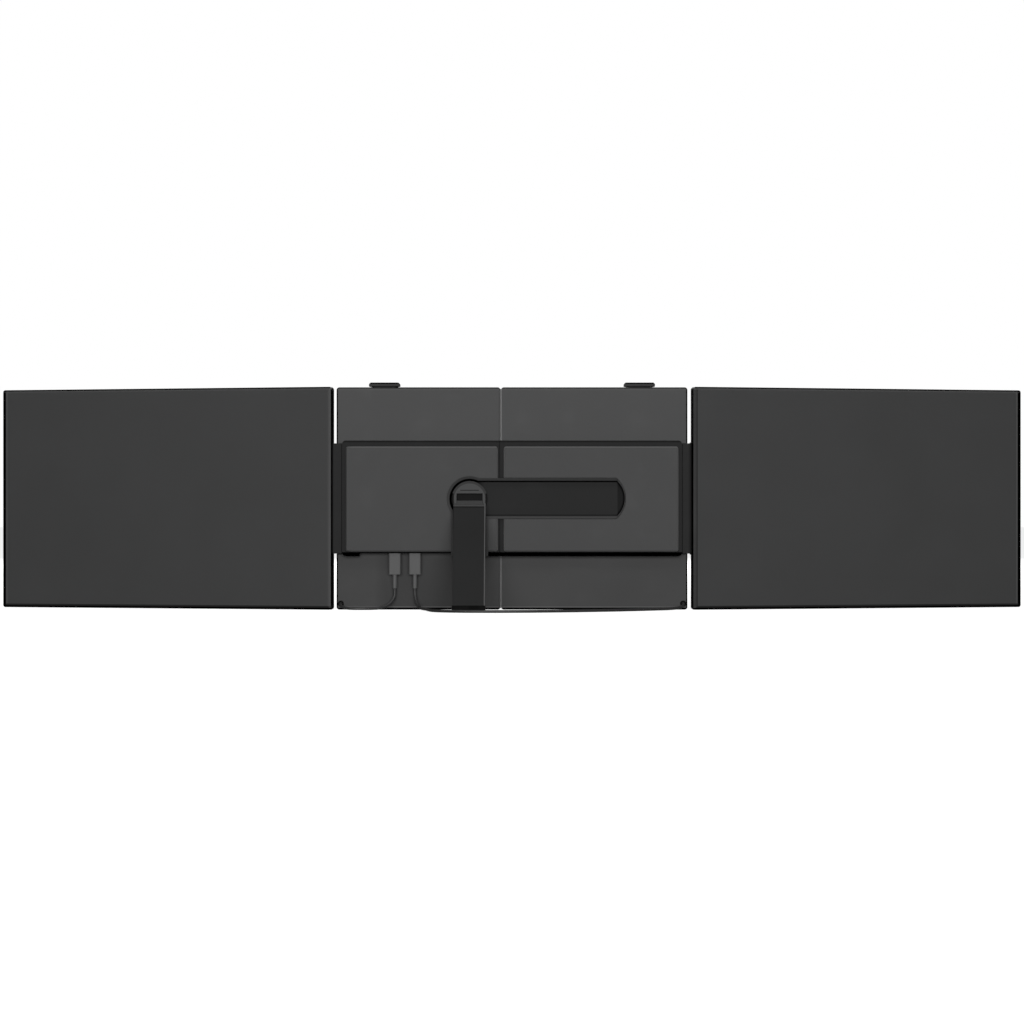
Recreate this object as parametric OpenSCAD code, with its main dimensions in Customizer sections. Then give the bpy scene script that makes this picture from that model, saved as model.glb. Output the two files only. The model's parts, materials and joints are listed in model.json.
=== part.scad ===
// Laptop screen extender: two side screens hinged on a telescopic middle casing,
// with a hub box and a turntable kickstand on the back.
// +X runs to the right seen from behind, +Y towards the user, +Z up.
// The origin is at the foot of the middle casing, at mid thickness.

/* [Screens] */
// Width of one screen case
screen_w = 358; // [345:1:380]
// Height of one screen case
screen_h = 222.4; // [215:0.1:240]
// Thickness of one screen case
screen_t = 10.4; // [9.5:0.1:14]
// Thickness of the front bezel ring
bezel_t = 2.6; // [2.2:0.1:3.2]
// Border between the picture and each side edge
bezel_side = 6.9; // [6.8:0.1:20]
// Border between the picture and the top edge
bezel_top = 6.9; // [5:0.1:10]
// Border between the picture and the lower edge
bezel_low = 21.9; // [20:0.1:30]
// Wall of the screen's back cover
cover_wall = 1.6; // [1.2:0.1:2]
// Width of the bevel round the back cover
cover_bevel_w = 4; // [2:0.1:6]
// Depth of the bevel round the back cover
cover_bevel_d = 1.8; // [0.5:0.1:2]
// Radius of the screen's corners
screen_r = 2.5; // [1:0.1:6]
// Toe-in of the left screen at rest, in degrees
toe_left = 17.2; // [5:0.1:30]
// Toe-in of the right screen at rest, in degrees
toe_right = 17.6; // [5:0.1:30]

/* [Middle casing] */
// Width over both closed casing halves
casing_w = 350.6; // [340:0.1:352]
// How much lower the casing halves are than the screens
casing_drop = 0.3; // [0:0.1:2]
// Thickness of the casing halves
casing_t = 6; // [5.6:0.1:6.4]
// Skin thickness of the casing halves
casing_skin = 1.2; // [0.8:0.1:1.4]
// Rim wall of the casing halves
casing_rim = 1.5; // [1:0.1:2]
// Corner radius of the casing halves
casing_r = 3; // [1:0.1:6]
// Place of the split between the halves
split_x = -11.25; // [-16:0.05:-4]
// Width of the split when closed
split_gap = 0.4; // [0.3:0.1:2]
// Height of the pads that the laptop's lid leans on
pad_t = 0.5; // [0.2:0.1:0.7]

/* [Hub] */
// Distance of the hub's ends from the casing's ends
hub_side = 5.7; // [5.3:0.1:7.3]
// Height of the hub's lower edge
hub_z = 53.6; // [50:0.1:56]
// Height of the hub box
hub_h = 115.2; // [110:0.1:125]
// Depth of the hub box behind the casing
hub_d = 8; // [8:0.1:9]
// Wall of the hub box
hub_wall = 1.4; // [1:0.1:2]
// Corner radius of the hub box
hub_r = 4; // [2:0.1:6]
// How far the covers stand proud of the box
cover_rise = 2.5; // [2:0.1:3]
// Rim left bare above the covers
rim_top = 6; // [3:0.1:8]
// Rim left bare below the covers
rim_bottom = 4.5; // [4:0.1:6]
// Rim left bare at the covers' ends
rim_side = 3.7; // [2:0.1:6]
// Width of the groove between the two covers
groove_w = 6; // [4:0.1:10]
// Width of the recess over the ports
port_recess_w = 91; // [60:1:95]
// Height of the recess over the ports
port_recess_h = 3; // [2:0.1:3.4]

/* [Kickstand] */
// Place of the turntable along the hub
turn_x = -42.3; // [-44:0.1:-40]
// Height of the turntable's centre
turn_z = 110.45; // [108:0.05:112]
// Radius of the turntable
turn_r = 17.9; // [17.5:0.1:18.5]
// Radius of the round recess
recess_r = 19.9; // [19:0.1:21]
// Width of the bevel round the recess and the slot
tray_bevel = 2.8; // [1:0.1:3.4]
// Depth of that bevel
tray_bevel_t = 0.9; // [0.5:0.1:1.5]
// Depth of the slot and recess below the cover's face
tray_depth = 4.9; // [4.8:0.1:5.2]
// Thickness of the tray's floor
tray_floor = 0.8; // [0.6:0.1:1]
// Right end of the slot
slot_end_x = 110.3; // [108:0.1:112]
// Slot wall below the leg's middle line
slot_below = 16.8; // [16.7:0.1:17]
// Slot wall above the leg's middle line
slot_above = 18; // [17.2:0.1:21]
// Radius of the slot's round end
slot_end_r = 24; // [23:0.1:40]
// Length of the slope at the slot's round end
slot_slope = 7.1; // [5:0.1:8]
// Width of the leg
leg_w = 32; // [30:0.1:32]
// Thickness of the leg
leg_t = 3; // [2.4:0.1:3]
// Leg's pivot to the middle of its foot
leg_len = 140; // [125:0.5:142]
// Pivot's distance below the turntable's centre
pivot_drop = 3; // [2.5:0.1:4]
// Width of the knuckle between the turntable's ears
knuckle_w = 25.4; // [20:0.1:25.4]
// Radius of the rubber foot's round end
foot_r = 2.2; // [1.8:0.1:2.3]
// Length of leg that the rubber foot covers
foot_grip = 4; // [3:0.1:8]

/* [Hinges] */
// Distance of both screen hinge axes beyond the casing's ends
hinge_out = 5.2; // [4.7:0.1:6.7]
// Radius of the hinge knuckles
knuckle_r = 3.2; // [2.8:0.1:3.3]
// Radius of the hinge pins
hinge_pin_r = 1.5; // [1:0.1:1.8]
// Lower end of the hinges
hinge_z = 56; // [40:0.1:70]
// Length of the hinges
hinge_h = 110; // [80:1:120]
// Gap between casing and the first folded screen
fold_gap = 1; // [0.8:0.1:1.4]
// Gap between the two folded screens
stack_gap = 0.6; // [0.4:0.1:1]
// Left screen's inner edge inboard of its hinge axis
inset_left = 3.87; // [3.5:0.01:4]
// Right screen's inner edge inboard of its hinge axis
inset_right = 4.7; // [4:0.1:4.75]

/* [Clips] */
// Distance of the clips from the middle
clip_x = 127.4; // [100:0.1:140]
// Width of a clip's head
clip_w = 31; // [20:0.5:40]
// Height of a clip's lip
lip_t = 4; // [3:0.1:6]
// Reach of the lip in front of the casing
lip_reach = 10; // [7:0.5:16]
// Width of a clip's stem
stem_w = 22; // [14:0.5:28]
// Length of a clip's stem inside the casing
stem_len = 57; // [50:1:70]

/* [Cords] */
// Diameter of the cords
cord_d = 2.8; // [2.4:0.1:3]
// Width of a plug body
plug_w = 12.4; // [10:0.1:13]
// Thickness of a plug body
plug_t = 6.2; // [5:0.1:6.4]
// Length of a plug body
plug_len = 21; // [18:0.1:22]
// Length of a strain relief
relief_len = 13.8; // [10:0.1:14]
// Place of the left plug
plug_left_x = -117; // [-125:0.1:-112]
// Place of the right plug
plug_right_x = -96.9; // [-100:0.1:-92]
// Place of the free port
port_free_x = -76.8; // [-82:0.1:-74]
// Distance of the cord grommets from the casing's ends
grommet_side = 4.3; // [4.3:0.1:7.3]
// Height of the cord grommets
grommet_z = 6; // [5:0.1:7]

/* [Hidden] */
$fn = 64;
eps = 1;              // overshoot of a cut
clear = 0.3;          // gap between pieces that move past each other
seat = 0.1;           // gap between pieces that are fixed together
run = 0.05;           // radial clearance of a running shaft
left = -1;
right = 1;

// sizes that follow from the screens
casing_h = screen_h - casing_drop;
active_w = screen_w - 2 * bezel_side;
active_h = screen_h - bezel_top - bezel_low;

// depths along Y
casing_back = -casing_t / 2;
casing_front = casing_t / 2;
hub_back = casing_back - hub_d;
cover_back = hub_back - cover_rise;
tray_y = cover_back + tray_depth;
tray_front = tray_y + tray_floor;

// screens: open depth, folded depths and the two hinge axes
screen_front = -0.5;
fold1_front = casing_front + fold_gap;
fold2_front = fold1_front + screen_t + stack_gap;
axis_y_left = (fold1_front + screen_front) / 2;
axis_y_right = (fold2_front + screen_front) / 2;
panel_lip = 2;
panel_t = 2.6;
bezel_skin = 1.2;
cover_skin = 1.4;
leaf_t = 1.5;
cavity_step = 0.4;
web_left = 0.6;
web_right = 1.6;
web_depth = 3;
screen_step = 0.5;

// sizes that follow from the casing's width
hinge_x = casing_w / 2 + hinge_out;
grommet_x = casing_w / 2 - grommet_side;
hub_w = casing_w - 2 * hub_side;

// hub
hub_lo = -hub_w / 2;
hub_hi = hub_w / 2;
hub_top = hub_z + hub_h;
hub_shift = 1.2;      // the hub's split stands beside the casing's, so no light comes through
hub_inner_z = hub_z + rim_bottom - seat;
cover_lo_z = hub_z + rim_bottom;
cover_hi_z = hub_top - rim_top;
cover_bevel = 1.2;
port_mouth_z = hub_z + port_recess_h;
port_recess_x = -106.5;
port_lo_x = port_recess_x - port_recess_w / 2;

// slide tongue and its glides
tongue_t = 1.5;
tongue_lo_x = -110;
tongue_hi_x = 95;
tongue_below = 26.5;
tongue_above = 29.5;
tongue_y = tray_front + tongue_t;
tongue_lo_z = turn_z - tongue_below;
tongue_hi_z = turn_z + tongue_above;
tray_screw_left = 40;
tray_screw_right = 30;
tray_screw_low = 11;
tray_screw_high = 14;
tray_land = 0.4;
slope_edge = 0.7;
slope_hi_x = slot_end_x + tray_bevel - slope_edge;
slope_rim = 1;
post_r = 3.6;
post_side = 8;
post_mid = 24;
post_edge = 6;
glide_w = 6;
glide_lap = 2;
glide_lo_x = 0;
glide_hi_x = 60;

// turntable and leg
turn_base_t = 1.1;
turn_base_y = tray_y - clear;
turn_face_y = cover_back + 0.2;
turn_floor_y = turn_base_y - turn_base_t;
turn_cap_z = 5.6;
turn_line_z = 8.6;
turn_line = [18.6, 0.9, 0.4];   // width, height and depth of the line across the cap
ear_t = 2.9;
ear_below = 2.2;
shaft_r = 5;
thread_r = 4;
nut_r = 8.5;
nut_t = 1.1;
washer_r = 7;
washer_t = 0.4;
washer_y = tray_front + clear / 2;
pivot_y = turn_floor_y - clear - leg_t / 2;
pivot_z = turn_z - pivot_drop;
shoulder = 2.8;
leg_line_z = -5;
leg_line = [1, 0.5];            // height and depth of the line across the leg
leg_pin_r = 0.8;
leg_tilt = acos((pivot_z - foot_r) / leg_len);
channel_half = leg_w / 2 + 0.5;
channel_wall = 2;
channel_y = pivot_y + leg_t / 2 + 0.4;

// hub board and ports
socket_w = 9;
socket_t = 3.2;
socket_len = 7.4;
socket_wall = 0.25;
socket_gap = 0.2;
board_t = 1.2;
board_y = casing_back - 1.4 - board_t;
port_y = board_y - socket_t / 2;
board_left = 33;
board_right = 14;
board_lo_x = plug_left_x - board_left;
board_hi_x = port_free_x + board_right;
board_h = 22;
port_list = [plug_left_x, plug_right_x, port_free_x];
tip_w = 8.3;
tip_t = 2.5;
tip_len = 6.4;
tip_r = 1.2;
relief_top_r = 2.4;
relief_end_r = 2.2;
plug_top_z = port_mouth_z - 0.4;
plug_low_z = plug_top_z - plug_len;
cord_top_z = plug_low_z - relief_len;

// casing furniture
screw_r = 2;
screw_t = 2;
screw_inset = 9;
pad_x = 93;
pad_w = 120;
pad_h = 10;
pad_low_z = 18;
pad_high_drop = 40;
guide_w = 1.6;
guide_t = 1.2;
spring_r = 1.3;
spring_wire = 0.5;
spring_turns = 12;
spring_len = 44;
stem_t = 2.8;
stem_gap = 0.3;
anchor_h = 5;
lip_z = max(casing_h, screen_h) + 0.5;
stem_low_z = casing_h - stem_len;
grommet_r = 3;
grommet_step = 0.6;   // how much wider the grommet's flange is than its hole
case_bevel = 0.6;
boss_wall = 0.6;
anchor_d = 3;
dust_lip = 0.4;       // reach of the lip across the split, into a groove
dust_lip_t = 1.5;
shield_d = 6;
shield_cut = 0.8;
arm_back = screen_front + clear;

// buttons in the screens' outer side wall
button_w = 3;
button_proud = 0.8;
button_flange = 1;
cavity_gap = 0.9;     // the cover's cavity starts this far inside its wall
switch_gap = 0.8;     // between a button at rest and its switch
switch_reach = 5;
driver_w = 110;
driver_z = 2.8;
driver_h = 15.8;
strip_w = 12;
strip_top = 6;
power_z = 34;
power_h = 10;
menu_z = 52;
menu_h = 18;
button_v = 5.4;

function axis_y(side) = side < 0 ? axis_y_left : axis_y_right;
function toe(side) = side < 0 ? toe_left : toe_right;
function inset(side) = side < 0 ? inset_left : inset_right;
function front_v(side) = screen_front - axis_y(side);
function back_v(side) = front_v(side) - screen_t;
function seam_v(side) = front_v(side) - bezel_t;
function far_u(side) = screen_w - inset(side);
function half_lo(side) = side < 0 ? -casing_w / 2 : split_x + split_gap / 2;
function half_hi(side) = side < 0 ? split_x - split_gap / 2 : casing_w / 2;
function hub_half_lo(side) = side < 0 ? hub_lo : half_lo(side) - hub_shift;
function hub_half_hi(side) = side < 0 ? half_hi(side) - hub_shift : hub_hi;

// routes of the cords, as points on their middle lines
cord_z = 1.5;
left_route = [
    [plug_left_x, port_y, cord_top_z - seat], [plug_left_x, port_y, 16.6], [-117.8, -7.8, 12.2],
    [-120.5, -9.6, 7.8], [-125, -12.5, 4.2], [-131, -16, 2.1], [-138, -19.5, cord_z],
    [-146, -22.5, cord_z], [-154, -23.4, cord_z], [-161, -21.6, 1.6], [-166.6, -17.4, 2.2],
    [-170, -12.2, 3.8], [-171, -7.6, 5.4], [-171, -4.4, 5.95], [-171, -1.2, grommet_z]
];
right_route_start = [
    [plug_right_x, port_y, cord_top_z - seat], [plug_right_x, port_y, 16.6], [-96.4, -8.2, 12.2],
    [-95.2, -11.2, 7.8], [-93.4, -15.8, 4.2], [-91, -22, 2.1], [-88.5, -29.5, cord_z],
    [-86, -40, cord_z], [-84, -52, cord_z], [-82.5, -65, cord_z], [-81, -78, cord_z],
    [-79, -91, cord_z], [-75.5, -103, cord_z], [-69, -113.5, cord_z], [-59.5, -121.5, cord_z],
    [-48, -126.8, cord_z], [-35, -129.6, cord_z], [-21, -130.4, cord_z], [-6, -129.6, cord_z],
    [8.8, -127.05, cord_z]
];
right_route_end = [
    [9.2, -126.95, cord_z], [24, -123, cord_z], [39, -117.6, cord_z], [54, -111, cord_z],
    [69, -103.2, cord_z], [84, -94.4, cord_z], [98, -85, cord_z], [111, -75, cord_z],
    [123, -64.6, cord_z], [134, -54, cord_z], [144, -43.4, cord_z], [153, -33.2, cord_z],
    [160.6, -24.6, 1.7], [166.4, -17.6, 2.4], [170, -11.8, 3.9], [171, -7.4, 5.4],
    [171, -4.4, 5.95], [171, -1.2, grommet_z]
];

// ---------- helpers ----------

// the range from a middle value less half to it plus half
function around(middle, half) = [middle - half, middle + half];

// a box between two values along each axis
module block(x, y, z) {
    translate([x[0], y[0], z[0]])
        cube([x[1] - x[0], y[1] - y[0], z[1] - z[0]]);
}

// a flat outline in X and Z, given a depth range along Y
module along_y(y) {
    translate([0, y[1], 0])
        rotate([90, 0, 0])
            linear_extrude(height = y[1] - y[0])
                children();
}

// a rounded rectangle between two values along each axis
module round_rect(x, z, r) {
    translate([x[0] + r, z[0]])
        square([x[1] - x[0] - 2 * r, z[1] - z[0]]);
    translate([x[0], z[0] + r])
        square([x[1] - x[0], z[1] - z[0] - 2 * r]);
    for (cx = [x[0] + r, x[1] - r])
        for (cz = [z[0] + r, z[1] - r])
            translate([cx, cz])
                circle(r = r);
}

// a slab with rounded corners, upright in X and Z
module slab(x, y, z, r) {
    along_y(y) round_rect(x, z, r);
}

// a slab whose edges are bevelled on its back face (the low end of Y)
module bevelled_slab(x, y, z, r, bevel_w, bevel_d) {
    intersection() {
        slab(x, y, z, r);
        translate([0, 0, z[0]])
            linear_extrude(height = z[1] - z[0])
                polygon([
                    [x[0], y[1]], [x[0], y[0] + bevel_d], [x[0] + bevel_w, y[0]],
                    [x[1] - bevel_w, y[0]], [x[1], y[0] + bevel_d], [x[1], y[1]]
                ]);
        translate([x[0], 0, 0])
            rotate([90, 0, 90])
                linear_extrude(height = x[1] - x[0])
                    polygon([
                        [y[1], z[0]], [y[0] + bevel_d, z[0]], [y[0], z[0] + bevel_w],
                        [y[0], z[1] - bevel_w], [y[0] + bevel_d, z[1]], [y[1], z[1]]
                    ]);
    }
}

// a round bar along Y
module rod_y(x, y, z, r) {
    translate([x, y[1], z])
        rotate([90, 0, 0])
            cylinder(r = r, h = y[1] - y[0]);
}

// a round bar along Z
module rod_z(x, y, z, r) {
    translate([x, y, z[0]])
        cylinder(r = r, h = z[1] - z[0]);
}

// a round bar along X
module rod_x(x, y, z, r) {
    translate([x[0], y, z])
        rotate([0, 90, 0])
            cylinder(r = r, h = x[1] - x[0]);
}

// mirrors what follows for the left side
module flip_for(side) {
    if (side < 0)
        mirror([1, 0, 0]) children();
    else
        children();
}

// puts a screen's piece, drawn open flat with its hinge axis at the origin and
// +X outwards, in its place
module at_screen(side) {
    translate([side * hinge_x, axis_y(side), 0])
        rotate([0, 0, side * toe(side)])
            flip_for(side)
                children();
}

// points of a smooth curve through the route, with one extra point in each gap
function between(a, b, c, d) = (-a + 9 * b + 9 * c - d) / 16;
function smooth(route) = [
    for (i = [0 : 2 * (len(route) - 1)])
        let (k = floor(i / 2), n = len(route) - 1)
            i % 2 == 0
                ? route[k]
                : between(route[max(k - 1, 0)], route[k], route[k + 1], route[min(k + 2, n)])
];
function unit(v) = v / norm(v);
function heading(path, i) = unit(path[min(i + 1, len(path) - 1)] - path[max(i - 1, 0)]);
function carried(n, t) = unit(n - t * (n * t));
function side_of(path, i) = i == 0
    ? carried([1, 0, 0], heading(path, 0))
    : carried(side_of(path, i - 1), heading(path, i));

// a closed tube of eight sides swept along a route
module tube(route, radius) {
    sides = 8;
    path = smooth(route);
    rings = len(path);
    points = [
        for (i = [0 : rings - 1])
            let (t = heading(path, i), a = side_of(path, i), b = cross(t, a))
                for (k = [0 : sides - 1])
                    path[i] + radius * (cos(360 * k / sides) * a + sin(360 * k / sides) * b)
    ];
    walls = [
        for (i = [0 : rings - 2])
            for (k = [0 : sides - 1])
                for (half = [0, 1])
                    let (p = i * sides + k, q = i * sides + (k + 1) % sides)
                        half == 0 ? [p, p + sides, q] : [q, p + sides, q + sides]
    ];
    start = [[for (k = [0 : sides - 1]) k]];
    end = [[for (k = [0 : sides - 1]) rings * sides - 1 - k]];
    polyhedron(points = points, faces = concat(start, walls, end));
}

// ---------- middle casing ----------

module clip_slot(side) {
    block([side * clip_x - stem_w / 2 - stem_gap, side * clip_x + stem_w / 2 + stem_gap],
        [-stem_t / 2 - stem_gap, stem_t / 2 + stem_gap],
        [casing_h - 2 * casing_rim, casing_h + eps]);
}

// opening in the outer rim for the hinge bracket
module bracket_window(side) {
    edge = [casing_w / 2 - 2 * casing_rim, casing_w / 2 + eps];
    flip_for(side)
        block(edge, [casing_back + casing_skin, casing_front + eps],
            [hinge_z, hinge_z + hinge_h]);
}

module screw_places(side) {
    for (x = [half_lo(side) + screw_inset, half_hi(side) - screw_inset])
        for (z = [screw_inset, (casing_h - hinge_z) / 4, casing_h - screw_inset])
            translate([x, 0, z])
                children();
}

module back_shell(side) {
    x = [half_lo(side), half_hi(side)];
    inner_y = casing_back + casing_skin;
    difference() {
        bevelled_slab(x, [casing_back, casing_front], [0, casing_h], casing_r,
            case_bevel, case_bevel);
        slab([x[0] + casing_rim, x[1] - casing_rim], [inner_y, casing_front + eps],
            [casing_rim, casing_h - casing_rim], casing_r - casing_rim);
        clip_slot(side);
        bracket_window(side);
        rod_y(side * grommet_x, [casing_back - eps, 0], grommet_z,
            grommet_r - grommet_step);
        // groove for the other half's lip
        if (side < 0)
            block([x[1] - dust_lip - clear, x[1] + eps], around(0, dust_lip_t / 2 + clear),
                [casing_rim - clear, casing_h - casing_rim + clear]);
    }
    // lip that keeps dust and light out of the closed split
    if (side > 0)
        block([x[0] - split_gap - dust_lip, x[0] + seat], around(0, dust_lip_t / 2),
            [casing_rim, casing_h - casing_rim]);
    // bosses for the case screws
    screw_places(side)
        difference() {
            rod_y(0, [inner_y - seat, casing_front - casing_skin - seat], 0, screw_r + boss_wall);
            rod_y(0, [casing_front - screw_t - seat, casing_front], 0, screw_r / 2);
        }
    // guides beside the clip's stem, and the spring's anchor below it
    for (s = [-1, 1])
        block(around(side * clip_x + s * (stem_w / 2 + clear + guide_w / 2), guide_w / 2),
            [inner_y - seat, inner_y + guide_t],
            [stem_low_z - spring_len, casing_h - casing_rim]);
    anchor_top = stem_low_z - spring_len - clear;
    block(around(side * clip_x, anchor_h), [inner_y - seat, inner_y + anchor_d],
        [anchor_top - anchor_h, anchor_top]);
}

module front_panel(side) {
    x = [half_lo(side) + casing_rim + seat, half_hi(side) - casing_rim - seat];
    difference() {
        slab(x, [casing_front - casing_skin, casing_front],
            [casing_rim + seat, casing_h - casing_rim - seat], casing_r - casing_rim);
        screw_places(side)
            rod_y(0, [0, casing_front + eps], 0, screw_r + seat);
    }
}

module case_screws(side) {
    screw_places(side) {
        rod_y(0, [casing_front - casing_skin - seat, casing_front - seat], 0, screw_r);
        rod_y(0, [casing_front - screw_t, casing_front - casing_skin], 0, screw_r / 2 - run);
    }
}

module lid_pads(side) {
    for (z = [pad_low_z, casing_h - pad_high_drop])
        slab(around(side * pad_x, pad_w / 2), [casing_front, casing_front + pad_t],
            [z, z + pad_h], 2);
}

module clip(side) {
    head = [side * clip_x - clip_w / 2, side * clip_x + clip_w / 2];
    cut = 1.5;
    // lip over the casing's top edge
    along_y([casing_back, casing_front + lip_reach])
        polygon([
            [head[0], lip_z], [head[1], lip_z], [head[1], lip_z + lip_t - cut],
            [head[1] - cut, lip_z + lip_t], [head[0] + cut, lip_z + lip_t],
            [head[0], lip_z + lip_t - cut]
        ]);
    // stem inside the casing
    block(around(side * clip_x, stem_w / 2), [-stem_t / 2, stem_t / 2],
        [stem_low_z, lip_z + 1]);
}

module clip_pad(side) {
    pad = 0.3;
    block(around(side * clip_x, clip_w / 2 - 2),
        [casing_front + 1, casing_front + lip_reach - 1], [lip_z - pad, lip_z]);
}

// a tension spring between the anchor and the stem
module clip_spring(side) {
    rings = spring_turns * 8;
    top = stem_low_z - clear;
    low = stem_low_z - spring_len + clear;
    wire = spring_wire / 2;
    path = [
        for (i = [0 : rings])
            [
                side * clip_x + spring_r * cos(45 * i),
                spring_r * sin(45 * i),
                low + wire + (top - low - 2 * wire) * i / rings
            ]
    ];
    coil(path, wire);
}

// a closed wire of four sides swept along a list of points
module coil(path, radius) {
    sides = 4;
    rings = len(path);
    points = [
        for (i = [0 : rings - 1])
            let (t = heading(path, i), a = carried([0, 0, 1], t), b = cross(t, a))
                for (k = [0 : sides - 1])
                    path[i] + radius * (cos(90 * k) * a + sin(90 * k) * b)
    ];
    walls = [
        for (i = [0 : rings - 2])
            for (k = [0 : sides - 1])
                for (half = [0, 1])
                    let (p = i * sides + k, q = i * sides + (k + 1) % sides)
                        half == 0 ? [p, p + sides, q] : [q, p + sides, q + sides]
    ];
    start = [[for (k = [0 : sides - 1]) k]];
    end = [[for (k = [0 : sides - 1]) rings * sides - 1 - k]];
    polyhedron(points = points, faces = concat(start, walls, end));
}

// ---------- hub ----------

// outline of the kickstand's tray, grown by a margin: the round recess, the slot to
// its right and the channel below it
module tray_outline(grow) {
    r = recess_r + tray_bevel + grow;
    end_x = slot_end_x + tray_bevel + grow;
    end_r = slot_end_r + tray_bevel + grow;
    low = turn_z - slot_below - tray_bevel - grow;
    high = turn_z + slot_above + tray_bevel + grow;
    translate([turn_x, turn_z])
        circle(r = r);
    translate([turn_x, low])
        square([end_x - end_r - turn_x, high - low]);
    intersection() {
        translate([turn_x, low])
            square([end_x - turn_x, high - low]);
        translate([end_x - end_r, (low + high) / 2])
            circle(r = end_r);
    }
    wide = channel_half + channel_wall + grow;
    translate([turn_x - wide, hub_z - grow])
        square([2 * wide, turn_z - hub_z]);
}

module tray_block(grow) {
    along_y([cover_back - grow * 10, tray_front + grow]) tray_outline(grow);
}

module hub_case(side) {
    x = [hub_half_lo(side), hub_half_hi(side)];
    open_end = side < 0 ? [hub_wall, -eps] : [-eps, hub_wall];
    // room to slide: the right half moves away from the fixed tray
    room = side < 0 ? seat : clear + seat;
    // corners are round at the outer end only
    past = side < 0 ? [0, hub_r] : [-hub_r, 0];
    cut = side < 0 ? [x[1], x[1] + hub_r + eps] : [x[0] - hub_r - eps, x[0]];
    difference() {
        slab(x + past, [hub_back, casing_back], [hub_z, hub_top], hub_r);
        block(cut, [hub_back - eps, casing_back + eps], [hub_z - eps, hub_top + eps]);
        // the right half's overlap on the left casing stands clear of it
        if (side > 0)
            block([x[0] - eps, x[0] + hub_shift + clear], [casing_back - clear, casing_back + eps],
                [hub_z - eps, hub_top + eps]);
        block([x[0] + open_end[0], x[1] - open_end[1]],
            [hub_back + hub_wall, casing_back + eps],
            [hub_inner_z, hub_top - hub_wall]);
        tray_block(room);
        if (side < 0) {
            block([port_lo_x, port_lo_x + port_recess_w], [hub_back - eps, casing_back + eps],
                [hub_z - eps, port_mouth_z]);
            for (px = port_list)
                block(around(px, socket_w / 2 + seat),
                    around(port_y, socket_t / 2 + seat),
                    [hub_z, hub_inner_z + eps]);
        }
    }
}

module hub_cover(side) {
    x = side < 0
        ? [hub_lo + rim_side, split_x - groove_w / 2]
        : [split_x + groove_w / 2, hub_hi - rim_side];
    room = side < 0 ? seat : clear + seat;
    difference() {
        bevelled_slab(x, [cover_back, hub_back], [cover_lo_z, cover_hi_z], 2.5,
            cover_bevel, cover_bevel);
        tray_block(room);
    }
}

module kickstand_tray() {
    color("#2d2d2e")
    difference() {
        along_y([cover_back, tray_front]) tray_outline(0);
        // round recess with its bevel, and the bore for the turntable's shaft
        rod_y(turn_x, [cover_back - eps, tray_y], turn_z, recess_r);
        translate([turn_x, cover_back, turn_z])
            rotate([-90, 0, 0])
                cylinder(r1 = recess_r + tray_bevel - tray_land, r2 = recess_r,
                    h = tray_bevel_t);
        rod_y(turn_x, [tray_y - eps, tray_front + eps], turn_z, shaft_r + run);
        // slot with bevelled long edges, whose floor rises to the round end
        intersection() {
            translate([0, 0, turn_z - slot_below])
                linear_extrude(height = slot_below + slot_above)
                    polygon([
                        [turn_x, cover_back - eps], [turn_x, tray_y],
                        [slope_hi_x - slot_slope, tray_y], [slope_hi_x, cover_back + slope_rim],
                        [slope_hi_x, cover_back - eps]
                    ]);
            union() {
                block([turn_x, slope_hi_x - slot_end_r], [cover_back - eps, tray_y],
                    [turn_z - slot_below, turn_z + slot_above]);
                rod_y(slope_hi_x - slot_end_r, [cover_back - eps, tray_y],
                    turn_z + (slot_above - slot_below) / 2, slot_end_r);
            }
        }
        slot_bevel(turn_z - slot_below, -1);
        slot_bevel(turn_z + slot_above, 1);
        // channel where the leg lies when it is folded down
        block(around(turn_x, channel_half), [cover_back - eps, channel_y],
            [hub_z - eps, turn_z]);
    }
}

// bevel along one long edge of the slot
module slot_bevel(z, way) {
    wide = way * (tray_bevel - tray_land);
    deep = cover_back + tray_bevel_t;
    translate([turn_x, 0, z])
        rotate([90, 0, 90])
            linear_extrude(height = slope_hi_x - slot_slope - turn_x)
                polygon([
                    [cover_back - eps, -way * eps], [cover_back - eps, wide],
                    [cover_back, wide], [deep, 0], [deep, -way * eps]
                ]);
}

module slide_tongue() {
    color("#3a3b3c") {
        difference() {
            block([tongue_lo_x, tongue_hi_x], [tray_front, tongue_y],
                [tongue_lo_z, tongue_hi_z]);
            rod_y(turn_x, [tray_front - eps, tongue_y + eps], turn_z, nut_r + 2);
            tray_screw_places()
                rod_y(0, [tray_front - eps, tongue_y + eps], 0, 1 + run);
        }
        // posts that carry the tongue on the left casing half
        for (x = [tongue_lo_x + post_side, turn_x + post_mid])
            for (z = [tongue_lo_z + post_edge, tongue_hi_z - post_edge])
                rod_y(x, [tongue_y - seat, casing_back], z, post_r);
    }
}

module tray_screw_places() {
    for (x = [turn_x + tray_screw_left, slot_end_x - tray_screw_right])
        for (z = [turn_z - tray_screw_low, turn_z + tray_screw_high])
            translate([x, 0, z])
                children();
}

module tray_screws() {
    color("silver")
    tray_screw_places() {
        rod_y(0, [tongue_y, tongue_y + 0.8], 0, 2);
        rod_y(0, [tray_front, tongue_y + seat], 0, 1);
    }
}

module slide_glides() {
    color("ivory")
    for (edge = [[tongue_lo_z, -1], [tongue_hi_z, 1]])
        difference() {
            block([glide_lo_x, glide_hi_x], [hub_back + hub_wall, casing_back],
                edge[1] < 0
                    ? [edge[0] - glide_w + glide_lap, edge[0] + glide_lap]
                    : [edge[0] - glide_lap, edge[0] + glide_w - glide_lap]);
            block([glide_lo_x - eps, glide_hi_x + eps],
                [tray_front - clear, tongue_y + clear],
                edge[1] < 0
                    ? [edge[0] - clear, edge[0] + glide_lap + eps]
                    : [edge[0] - glide_lap - eps, edge[0] + clear]);
        }
}

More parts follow.
